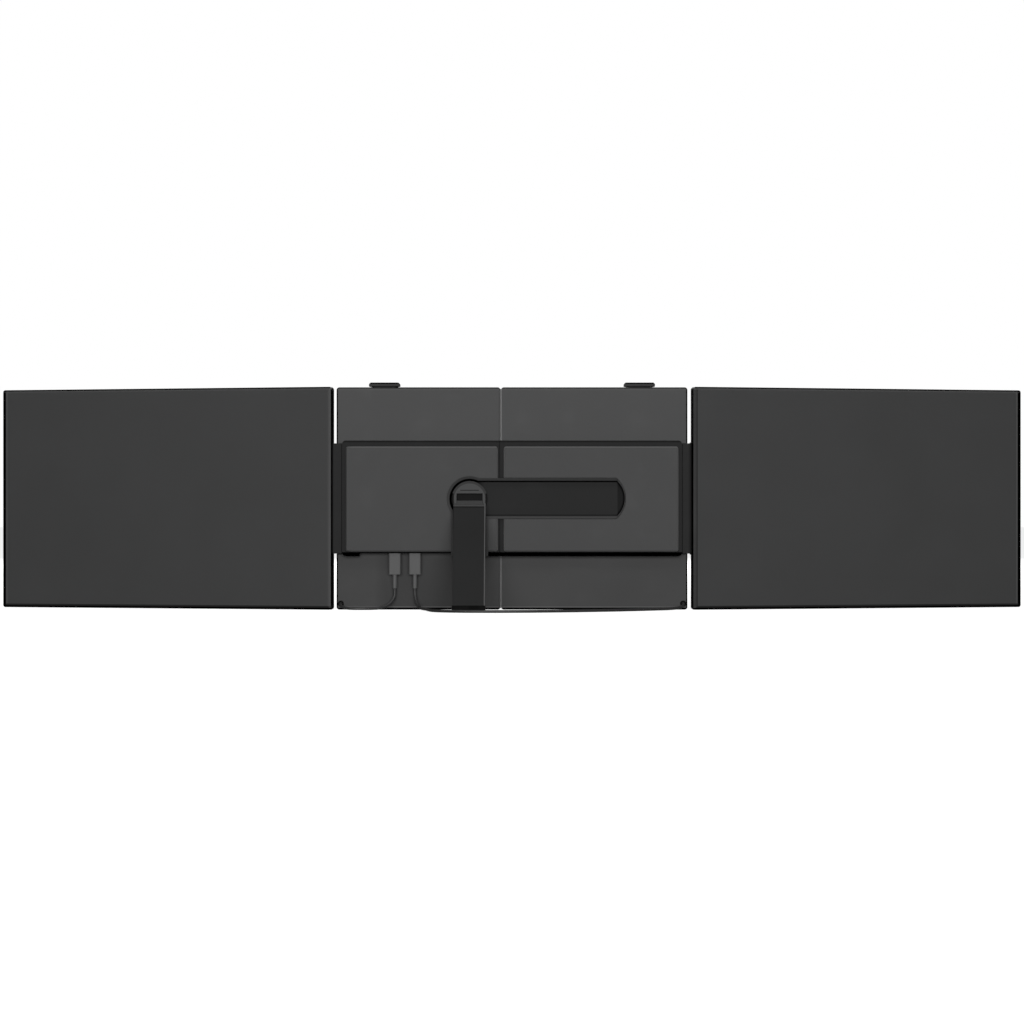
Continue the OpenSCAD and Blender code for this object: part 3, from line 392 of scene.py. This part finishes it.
SCREEN_START, SCREEN_END = span_of("right_back_cover", 0)
SCREEN_TOP = span_of("right_back_cover", 2)[1]
CASING_END, CASING_TOP = (span_of("right_back_shell", axis)[1] for axis in (0, 2))
SPLIT = (span_of("left_back_shell", 0)[1] + span_of("right_back_shell", 0)[0]) / 2
HUB_LOW, HUB_TOP = span_of("left_hub_case", 2)
COVER_START, COVER_FACE = (span_of("left_hub_cover", axis)[0] for axis in (0, 1))
COVER_TOP = span_of("left_hub_cover", 2)[1]
DISC, DISC_FACE = middle_of("turntable"), span_of("turntable", 1)[0]
TRAY_FACE = span_of("kickstand_tray", 1)[0]
LEG_SIDE, LEG_TOP = (span_of("kickstand_leg", axis)[1] for axis in (0, 2))
CLIP_TOP = span_of("left_clip", 2)[1]
SHIELD_END = span_of("right_hinge_shield", 0)[1]
HINGE_X = 181
FACE_R = 15.2  # of the disc's face, inside its ring
GROOVE_HALF = 9.2  # half the length of the groove over the leg
SLOT_Z, SLOT_HALF = 111.05, 16
SLOT_START, SLOT_END = -36, 104  # where the disc's recess ends and the round end starts
ROUND_END, ROUND_R = (88.4, SLOT_Z), 21.7
PLUGS = (-126, -58)  # the stretch of the casing behind the plugs


def disc_marks(finish):
    groove = finish.band(finish.mm(2), DISC[1] + 8.25, DISC[1] + 9.05)
    beside = finish.size_of(finish.mm(0) - DISC[0])
    painted_shade_depth = finish.ramp(finish.mm(1), DISC_FACE + 0.6, DISC_FACE + 1.2)
    return [
        (finish.outside(DISC, FACE_R, FACE_R + 0.6), 0.55),  # painted shade on the ring
        (groove * finish.ramp(beside, GROOVE_HALF + 0.2, GROOVE_HALF), 0.35),
        (painted_shade_depth, 0.02),  # painted shade in the leg's seat
    ]


def tray_marks(finish):
    x, y, z = finish.mm(0), finish.mm(1), finish.mm(2) - SLOT_Z
    recess = finish.ramp(x, SLOT_START + 8, SLOT_START)
    upper = finish.ramp(z, SLOT_HALF - 0.05, SLOT_HALF + 0.55)
    lower = finish.ramp(z, -SLOT_HALF + 0.35, -SLOT_HALF - 0.45)
    round_end = finish.outside(ROUND_END, ROUND_R, ROUND_R + 2)
    round_end *= finish.ramp(x, SLOT_END, SLOT_END + 2)
    wall = recess + upper + lower * 0.45 + round_end
    painted_shade_depth = finish.ramp(y, TRAY_FACE + 0.8, TRAY_FACE + 1.1)
    return [
        (finish.ramp(y, TRAY_FACE + 0.85, TRAY_FACE + 0.65), 2.8),  # the bevel
        (painted_shade_depth * wall, 0.0),  # painted shadow at the foot of the walls
    ]


def leg_marks(finish):
    x, z = finish.mm(0), finish.mm(2)
    return [
        (finish.ramp(z, LEG_TOP - 4.45, LEG_TOP - 4.15), 2.5),  # painted light on the head
        (finish.band(z, LEG_TOP - 5.65, LEG_TOP - 4.65), 3.2),  # painted highlight on the edge below it
        (finish.band(z, LEG_TOP - 7.05, LEG_TOP - 6.25), 0.4),  # and its shade
        (finish.band(x, LEG_SIDE - 1.1, LEG_SIDE + 0.3), 4.5),  # painted highlight along the right side
    ]


def rim_marks(finish):
    z = finish.mm(2)
    return [
        (finish.ramp(z, HUB_LOW + 4.0, HUB_LOW + 3.7), 0.0),  # painted shade under the covers
        (finish.band(z, HUB_TOP - 1.7, HUB_TOP - 0.5), 0.3),  # painted shade on the upper edge
    ]


def cover_marks(finish):
    bevel = finish.band(finish.mm(1), COVER_FACE + 0.2, COVER_FACE + 1.1, 0.1)
    not_the_left_end = finish.ramp(finish.mm(0), COVER_START, COVER_START + 6)
    return [
        (finish.band(finish.mm(2), COVER_TOP - 1.2, COVER_TOP - 0.2), 1.15),  # painted highlight on the top
        # painted highlight on the bevel, except at its left end
        (bevel * not_the_left_end, 2.6),
    ]


def shield_marks(finish):
    x = finish.mm(0)
    return [
        (finish.ramp(x, SHIELD_END - 4.6, SHIELD_END - 0.6), 0.0),  # painted shade by the right gap
        (finish.ramp(x, -HINGE_X, -HINGE_X - 1), 0.2),  # painted shade on the left leaf past its axis
    ]


def casing_marks(finish):
    x, z = finish.mm(0), finish.mm(2)
    painted_shade_below_hub = finish.ramp(z, HUB_LOW + 4.4, HUB_LOW + 0.4)
    return [
        # painted shade under the hub
        (painted_shade_below_hub, 0.77),
        (finish.band(x, *PLUGS, 12) * painted_shade_below_hub, 0.48),  # the shade round the plugs
        (finish.band(z, 2.4, 3.3), 1.4),  # painted highlight on the lower edge
        # painted shade under the lower edge
        (finish.ramp(z, 1.9, 1.6), 0.0),
        (finish.band(z, CASING_TOP - 2.6, CASING_TOP - 1.8), 1.3),  # painted highlight on the upper edge
        # painted shade on the top
        (finish.ramp(z, CASING_TOP - 1.5, CASING_TOP - 1.2), 0.15),
        (finish.band(x, SPLIT - 1.35, SPLIT - 0.55), 0.35),  # both sides of the split: a dark line, then a painted highlight
        (finish.band(x, SPLIT - 0.25, SPLIT + 1.25), 5.2),
        (finish.ramp(finish.size_of(x), CASING_END - 1.6, CASING_END - 1.2), 0.0),  # painted shade on the ends
    ]


def screen_marks(finish):
    x, z = finish.size_of(finish.mm(0)), finish.mm(2)
    right = finish.ramp(finish.mm(0), -1, 1)
    return [
        # painted shade on the right screen's inner bevel, which faces away from the light
        (finish.band(x, SCREEN_START + 1.5, SCREEN_START + 6) * right, 0.15),
        (finish.ramp(x, SCREEN_START + 1.8, SCREEN_START + 1.5), 0.0),  # painted shade on the inner edge
        (finish.band(x, SCREEN_END - 5.0, SCREEN_END - 3.9), 1.5),  # painted highlight on the outer edge
        # painted shade past the outer edge
        (finish.ramp(x, SCREEN_END - 3.5, SCREEN_END - 3.2), 0.0),
        (finish.band(z, SCREEN_TOP - 2.5, SCREEN_TOP - 1.7), 1.3),  # painted highlight on the upper edge
        # painted shade on the top
        (finish.ramp(z, SCREEN_TOP - 1.4, SCREEN_TOP - 1.1), 0.0),
        (finish.ramp(z, 4.0, 3.4), 0.2),  # painted shade on the lower edge
        (finish.ramp(z, 2.1, 1.7), 0.0),
    ]


def clip_marks(finish):
    return [(finish.ramp(finish.mm(2), CLIP_TOP - 1.5, CLIP_TOP - 1.1), 0.0)]  # painted shade on the top


print("screens from", round(SCREEN_START, 1), "to", round(SCREEN_END, 1), "mm, split at",
      round(SPLIT, 2), "mm")

# %% [markdown]
# ## The shells' table
#
# Each slot with a moulded or painted surface gets one row: the material's name, its
# tone and roughness, the grain's size and depth in mm, the sheen, the marks, and how far
# the tone spreads. What a row leaves out is as in the recipe.

# %% Mix the shell finishes
SHELLS = {
    "casing_metal": ("sanded_casing_coat", 0.053, 0.50, 0.22, 0.008, 0.3, casing_marks),
    "cover_plastic": ("hub_cover_grain", 0.050, 0.52, 0.42, 0.014, 0.3, cover_marks),
    "rim_plastic": ("hub_rim_grain", 0.019, 0.55, 0.36, 0.012, 0.1, rim_marks),
    "clip_plastic": ("clip_grain", 0.015, 0.50, 0.36, 0.012, 0.25, clip_marks),
    "tray_plastic": ("slot_floor_grain", 0.019, 0.55, 0.36, 0.012, 0.12, tray_marks),
    "screen_shell": ("screen_back_grain", 0.053, 0.50, 0.5, 0.016, 0.3, screen_marks),
    "bezel_plastic": ("bezel_grain", 0.022, 0.50, 0.3, 0.010),
    "hinge_metal": ("hinge_powder_coat", 0.018, 0.48, 0.6, 0.02, 0.1, shield_marks),
    "leg_metal": ("leg_satin_coat", 0.023, 0.46, 0.25, 0.008, 0.15, leg_marks),
    "button_plastic": ("button_grain", 0.012, 0.42, 0.25, 0.008),
    "plug_plastic": ("plug_overmould", 0.092, 0.45, 0.3, 0.010),
    "relief_plastic": ("relief_overmould", 0.115, 0.45, 0.3, 0.010),
    "glide_plastic": ("bare_glide_plastic", 0.55, 0.38, 0.8, 0.01, 0.5, None, 0.04),
}
FINISHES = {slot: shell_finish(*row) for slot, row in SHELLS.items()}
# The disc is lighter than the covers and has painted shade in its seat. The leg's pin is
# blackened with the leg.
OWN_FINISH = {
    "turntable": shell_finish("disc_grain", 0.077, 0.50, 0.42, 0.014, 0.1, disc_marks),
    "leg_pin": FINISHES["leg_metal"],
}
print(len(FINISHES), "shell finishes")

# %% [markdown]
# ## Steel, rubber, glass and the boards
#
# Turned and rolled steel shows fine lines along the way it was worked, so its noise is
# stretched. Rubber is dull, and dust makes it a little lighter in patches. The panel's
# front has an anti-glare film: a dark surface with a fine sparkle. The boards carry
# copper tracks under green lacquer, which a cell pattern suggests well enough at this
# size.

# %% The other finishes
def steel_finish(name):
    finish = Finish(name)
    lines = finish.noise(0.5, 3.0, (1, 1, 14))
    stains = finish.noise(9, 4.0)
    colour = finish.mix(stains, grey(0.42, -0.01), grey(0.58, 0.015))
    rough = 0.26 + lines * 0.18 + stains * 0.06
    return finish.surface(Base_Color=colour, Roughness=rough, Metallic=1.0,
                          Normal=finish.bump(lines, 0.004, 0.5))


def rubber_finish(name, tone=0.005):
    finish = Finish(name)
    grain = finish.noise(0.3, 3.0)
    dust = finish.ramp(finish.noise(6, 5.0), 0.45, 0.8)
    colour = finish.mix(dust, grey(tone), grey(tone * 1.9, 0.02))
    return finish.surface(Base_Color=colour, Roughness=0.72 + grain * 0.16,
                          Specular_IOR_Level=0.05,
                          Normal=finish.bump(grain, 0.015, 0.7))


def panel_finish(name):
    finish = Finish(name)
    sparkle = finish.noise(0.12, 1.0)
    haze = finish.noise(60, 3.0)
    colour = finish.mix(haze, (0.004, 0.0045, 0.006, 1), (0.007, 0.0075, 0.010, 1))
    return finish.surface(Base_Color=colour, Roughness=0.20 + sparkle * 0.10 + haze * 0.04,
                          Coat_Weight=0.25, Coat_Roughness=0.18,
                          Normal=finish.bump(sparkle, 0.002, 0.35))


def board_finish(name):
    finish = Finish(name)
    sockets = {"Vector": finish.place, "Scale": 650.0, "Randomness": 0.55}
    cells = finish.node("ShaderNodeTexVoronoi", {"feature": "DISTANCE_TO_EDGE"}, sockets)
    tracks = 1 - finish.ramp(cells, 0.03, 0.09)
    colour = finish.mix(tracks, (0.008, 0.055, 0.022, 1), (0.02, 0.12, 0.045, 1))
    return finish.surface(Base_Color=colour, Roughness=0.34 + tracks * 0.1,
                          Normal=finish.bump(tracks, 0.03, 0.6))


def cord_finish(name):
    finish = Finish(name)
    fine = finish.noise(0.25, 2.0)
    scuffs = finish.ramp(finish.noise(11, 5.0), 0.5, 0.8)
    colour = finish.mix(scuffs, grey(0.036), grey(0.050))
    return finish.surface(Base_Color=colour, Roughness=0.40 + scuffs * 0.14 + fine * 0.06,
                          Normal=finish.bump(fine, 0.006, 0.5))


FINISHES.update(
    steel=steel_finish("drawn_steel"),
    rubber=rubber_finish("black_rubber"),
    display_glass=panel_finish("anti_glare_film"),
    board=board_finish("green_board_lacquer"),
    cord_jacket=cord_finish("satin_cord_jacket"),
)
print("finishes:", ", ".join(sorted(FINISHES)))

# %% [markdown]
# ## Dressing what stays
#
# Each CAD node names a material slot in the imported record. The small inner pieces keep
# their CAD meshes, and only their finish changes.

# %% Give every CAD node its finish
SLOT_OF = {row["node"]: row["material_slot"] for row in frame["record"]["subparts"]}
for node, piece in frame["nodes"].items():
    piece.data.materials.clear()
    piece.data.materials.append(OWN_FINISH.get(node, FINISHES[SLOT_OF[node]]))
print("dressed", len(frame["nodes"]), "nodes")

# %% [markdown]
# ## Soft edges on the shells
#
# No moulded or pressed edge is a knife edge. A little round of 0.1 to 0.5 mm catches
# the light and draws the outline of a dark object. A CAD mesh is loose triangles, so a
# copy is merged and its flat faces joined first. A Bevel modifier then rounds every edge
# that is sharper than 30 degrees, and a Weighted Normal modifier keeps the big faces
# flat in the light. The copy takes the node's place. Faces with many corners, as those
# with holes, are cut into triangles again, because one polygon would shade unevenly.

# %% Round the edges
SAME_PLACE = 0.002 * MM
FLAT, SHARP, MANY_CORNERS = math.radians(1), math.radians(30), 24


def merged_copy(node):
    mesh = bmesh.new()
    mesh.from_mesh(frame["nodes"][node].data)
    bmesh.ops.remove_doubles(mesh, verts=mesh.verts, dist=SAME_PLACE)
    bmesh.ops.dissolve_limit(mesh, angle_limit=FLAT, verts=mesh.verts, edges=mesh.edges)
    holed = [face for face in mesh.faces if len(face.verts) > MANY_CORNERS]
    bmesh.ops.triangulate(mesh, faces=holed)
    return mesh


def soften(node, width_mm):
    mesh = merged_copy(node)
    for face in mesh.faces:
        face.smooth = True
    piece = add_piece(node + "_shell", mesh)
    bevel = piece.modifiers.new("round", "BEVEL")
    bevel.width = width_mm * MM
    bevel.segments = 2
    bevel.limit_method = "ANGLE"
    bevel.angle_limit = SHARP
    piece.modifiers.new("weigh", "WEIGHTED_NORMAL")
    piece.data.materials.append(OWN_FINISH.get(node, FINISHES[SLOT_OF[node]]))
    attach(piece, BODY_OF[node])
    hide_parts(node)


def nodes_of(name):
    """A name that starts with _ stands for a node on the left and one on the right."""
    return ["left" + name, "right" + name] if name.startswith("_") else [name]


ROUNDED = {
    "_back_shell": 0.45, "_hub_cover": 0.25, "_hub_case": 0.4, "kickstand_tray": 0.3,
    "turntable": 0.3, "kickstand_leg": 0.3, "leg_foot": 0.5, "_hinge_shield": 0.5,
    "_clip": 0.5, "_clip_pad": 0.1, "_back_cover": 0.5, "_bezel": 0.25,
    "_front_panel": 0.25, "_plug": 0.5, "_strain_relief": 0.25,
    "left_power_button": 0.2, "left_menu_button": 0.2,
    "right_power_button": 0.2, "right_menu_button": 0.2,
}
rounded = [(node, width) for name, width in ROUNDED.items() for node in nodes_of(name)]
for node, width in rounded:
    soften(node, width)
print("rounded", len(rounded), "pieces")

# %% [markdown]
# ## Patterns that repeat
#
# Screws and the ribs of a pad are one small shape many times over. Geometry Nodes fit
# that: a tree with named inputs makes the shape once and sets it on points, so a size is
# changed in one place. The result is turned into a plain mesh at the end, so that it
# moves like any other piece.

# %% A geometry tree and its use
class Pattern(Tree):
    """A Geometry Nodes tree with named number inputs."""

    def __init__(self, name, inputs, finish):
        super().__init__(bpy.data.node_groups.new(name, "GeometryNodeTree"))
        face = self.tree.interface
        face.new_socket("Geometry", in_out="OUTPUT", socket_type="NodeSocketGeometry")
        face.new_socket("Points", in_out="INPUT", socket_type="NodeSocketGeometry")
        for label, value in inputs.items():
            socket = face.new_socket(label, in_out="INPUT", socket_type="NodeSocketFloat")
            socket.default_value = value
        self.given = self.tree.nodes.new("NodeGroupInput")
        self.finish = finish

    def input(self, label):
        return Value(self, self.given.outputs[label])

    def end(self, instances):
        real = self.node("GeometryNodeRealizeInstances", {}, {0: instances})
        sockets = {"Geometry": real, "Material": self.finish}
        dressed = self.node("GeometryNodeSetMaterial", {}, sockets)
        self.feed(self.tree.nodes.new("NodeGroupOutput").inputs[0], dressed)

    def vector(self, x=0.0, y=0.0, z=0.0):
        return self.node("ShaderNodeCombineXYZ", {}, {0: x, 1: y, 2: z})

    def moved(self, geometry, offset):
        sockets = {0: geometry, "Translation": offset}
        return self.node("GeometryNodeTransform", {}, sockets)

    def joined(self, *parts):
        made = self.tree.nodes.new("GeometryNodeJoinGeometry")
        for part in parts:
            self.tree.links.new(part.socket, made.inputs[0])
        return Value(self, made.outputs[0])

    def grow(self, name, points, node, slot):
        """Runs the tree on the points. The plain mesh takes the place of a CAD node."""
        seed = bpy.data.meshes.new(name + "_points")
        seed.from_pydata([tuple(p) for p in points], [], [])
        source = bpy.data.objects.new(name + "_points", seed)
        bpy.context.scene.collection.objects.link(source)
        modifier = source.modifiers.new("pattern", "NODES")
        modifier.node_group = self.tree
        bpy.context.view_layer.update()
        graph = bpy.context.evaluated_depsgraph_get()
        data = bpy.data.meshes.new_from_object(source.evaluated_get(graph))
        source.modifiers.clear()
        bpy.data.objects.remove(source)
        data.name = name
        piece = bpy.data.objects.new(name, data)
        bpy.context.scene.collection.objects.link(piece)
        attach(piece, BODY_OF[node])
        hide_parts(node)
        print(name, len(data.polygons), "faces")


print("made the class", Pattern.__name__)

# %% [markdown]
# ## The screws
#
# Small flush screws with a cross recess hold the front panels on the casing. Each is a
# short cylinder with two slots cut out of its head, and a thinner shank below it. A Mesh
# Boolean cuts the cross once, before the screw is repeated.

# %% Make the screws
def screw_pattern():
    inputs = {"Head radius": 2 * MM, "Head height": 1.1 * MM, "Cross width": 0.55 * MM,
              "Shank radius": 0.9 * MM, "Shank length": 0.7 * MM}
    tree = Pattern("cross_head_screws", inputs, FINISHES["steel"])
    radius, height = tree.input("Head radius"), tree.input("Head height")
    shank = tree.input("Shank length")
    head = tree.node("GeometryNodeMeshCylinder", {},
                     {"Vertices": 32, "Radius": radius, "Depth": height})
    head = tree.moved(head, tree.vector(z=height * -0.5))
    reach, width = radius * 1.25, tree.input("Cross width")
    bars = [
        tree.node("GeometryNodeMeshCube", {}, {"Size": tree.vector(x, y, height)})
        for x, y in ((reach, width), (width, reach))
    ]
    cross = tree.joined(*bars)
    cut = tree.node("GeometryNodeMeshBoolean", {"operation": "DIFFERENCE"}, {0: head})
    tree.tree.links.new(cross.socket, cut.socket.node.inputs[1])
    post = tree.node("GeometryNodeMeshCylinder", {}, {
        "Vertices": 16, "Radius": tree.input("Shank radius"), "Depth": shank})
    post = tree.moved(post, tree.vector(z=height * -1 - shank * 0.5))
    screw = tree.joined(cut, post)
    heads_forward = (math.radians(-90), 0, 0)
    tree.end(tree.node("GeometryNodeInstanceOnPoints", {}, {
        "Points": tree.input("Points"), "Instance": screw, "Rotation": heads_forward}))
    return tree


def loose_parts(mesh):
    """The points of each part of a bmesh that hangs together."""
    parts, seen = [], set()
    for start in mesh.verts:
        if start in seen:
            continue
        part, todo = [], [start]
        seen.add(start)
        while todo:
            vert = todo.pop()
            part.append(vert.co.copy())
            for edge in vert.link_edges:
                other = edge.other_vert(vert)
                if other not in seen:
                    seen.add(other)
                    todo.append(other)
        parts.append(part)
    return parts


def places_of(node, face):
    """The middle of each solid of a node, on its rear (min) or front (max) face."""
    mesh = merged_copy(node)
    places = []
    for part in loose_parts(mesh):
        x, z = [(min(p[i] for p in part) + max(p[i] for p in part)) / 2 for i in (0, 2)]
        places.append((x, face(p.y for p in part), z))
    mesh.free()
    return places


screws = screw_pattern()
for side in ("left", "right"):
    node = side + "_case_screws"
    screws.grow(side + "_panel_screws", places_of(node, max), node, "steel")

# %% [markdown]
# ## The ribbed pads
#
# The laptop's lid leans on four thin rubber strips. Fine ribs across each strip keep
# the lid from sliding. The tree lays a thin base and sets ribs on a line of points at a
# given pitch. Like the screws, the strips lie where the solids say.

# %% Make the lid pads
def pad_pattern():
    inputs = {"Length": 116 * MM, "Width": 9 * MM, "Base": 0.28 * MM, "Rise": 0.22 * MM,
              "Pitch": 2 * MM}
    tree = Pattern("ribbed_pad", inputs, FINISHES["rubber"])
    length, width, base, rise, pitch = (tree.input(label) for label in inputs)
    size = tree.vector(length, base, width)
    strip = tree.node("GeometryNodeMeshCube", {}, {"Size": size})
    strip = tree.moved(strip, tree.vector(y=base * 0.5))
    rib = tree.node("GeometryNodeMeshCylinder", {}, {
        "Vertices": 8, "Radius": rise, "Depth": width * 0.94})
    rib = tree.moved(rib, tree.vector(y=base))
    count = length / pitch - 1
    line = tree.node("GeometryNodeMeshLine", {}, {
        "Count": count, "Start Location": tree.vector(x=pitch - length * 0.5),
        "Offset": tree.vector(x=pitch)})
    ribs = tree.node("GeometryNodeInstanceOnPoints", {}, {"Points": line, "Instance": rib})
    tree.end(tree.node("GeometryNodeInstanceOnPoints", {}, {
        "Points": tree.input("Points"), "Instance": tree.joined(strip, ribs)}))
    return tree


pads = pad_pattern()
for side in ("left", "right"):
    node = side + "_lid_pads"
    pads.grow(side + "_ribbed_pads", places_of(node, min), node, "rubber")

# %% [markdown]
# ## Fitting the leads
#
# The left lead stays on the fixed half of the casing. The right one starts on it and
# ends on the half that slides.

for lead in (left_lead, right_lead):
    lead.data.materials.append(FINISHES["cord_jacket"])
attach(left_lead, "root")
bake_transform(right_lead)
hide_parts("left_cord")
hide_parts("right_cord_start", "right_cord_end")
for side, lead, path in (("left", left_lead, left_path), ("right", right_lead, right_path)):
    length_of(path)
    side + "_strain_relief_shell"
    side + "_plug_shell"
print("declared", left_lead.name, "and", right_lead.name)

# %% [markdown]
# ## Floor and light
#
# A black object on white shows its shape in its sheen. One broad lamp stands behind the
# camera, so faces that look at the camera are the lightest and faces that turn away
# fall off. The rest of the room is dim, which draws every edge as a dark line. A long
# lamp above makes the tops of the faces a little lighter than their feet, and a third
# lamp lights the displays' side. The floor glows softly, so that it is as pale as the
# room, but it doesn't light the object.

# %% Light the studio
FLOOR_SIZE, FLOOR_DROP = 20, 0.3 * MM
LIT_POINT = (0, 0, 0.1)


def studio_floor():
    mesh = bmesh.new()
    bmesh.ops.create_grid(mesh, x_segments=1, y_segments=1, size=FLOOR_SIZE)
    bmesh.ops.translate(mesh, vec=(0, 0, -FLOOR_DROP), verts=mesh.verts)
    floor = add_piece("studio_floor", mesh)
    finish = Finish("pale_floor")
    colour = finish.mix(finish.noise(300, 2.0), grey(0.80), grey(0.84))
    floor.data.materials.append(finish.surface(
        Base_Color=colour, Roughness=0.95, Specular_IOR_Level=0.0,
        Emission_Color=grey(1.0), Emission_Strength=0.78))
    floor.visible_diffuse = False
    floor.visible_glossy = False


def studio_world(seen, lit):
    """A white room, seen at one strength and lighting the object at another."""
    world = bpy.data.worlds.new("white_studio")
    world.use_nodes = True
    tree = Tree(world.node_tree)
    world.node_tree.nodes.clear()
    ray = tree.node("ShaderNodeLightPath")
    strength = ray * (seen - lit) + lit
    glow = tree.node("ShaderNodeBackground", {}, {"Color": grey(1.0), "Strength": strength})
    tree.node("ShaderNodeOutputWorld", {}, {"Surface": glow})
    bpy.context.scene.world = world


def soft_lamp(name, place, size, power):
    """A rectangular lamp that looks at the hub's middle."""
    data = bpy.data.lights.new(name, "AREA")
    data.shape = "RECTANGLE"
    data.size, data.size_y = size
    data.energy = power
    lamp = bpy.data.objects.new(name, data)
    bpy.context.scene.collection.objects.link(lamp)
    lamp.location = place
    aim = Vector(LIT_POINT) - Vector(place)
    lamp.rotation_euler = aim.to_track_quat("-Z", "Y").to_euler()


studio_floor()
studio_world(seen=1.0, lit=0.10)
soft_lamp("broad_lamp", place=(0, -5.0, 0.9), size=(5.0, 2.6), power=190)
soft_lamp("top_lamp", place=(0, -0.9, 1.6), size=(2.4, 0.5), power=8)
soft_lamp("front_lamp", place=(0, 3.5, 1.6), size=(3.0, 1.6), power=60)
bpy.context.scene.view_settings.view_transform = "Standard"
print("lamps:", len(bpy.data.lights))
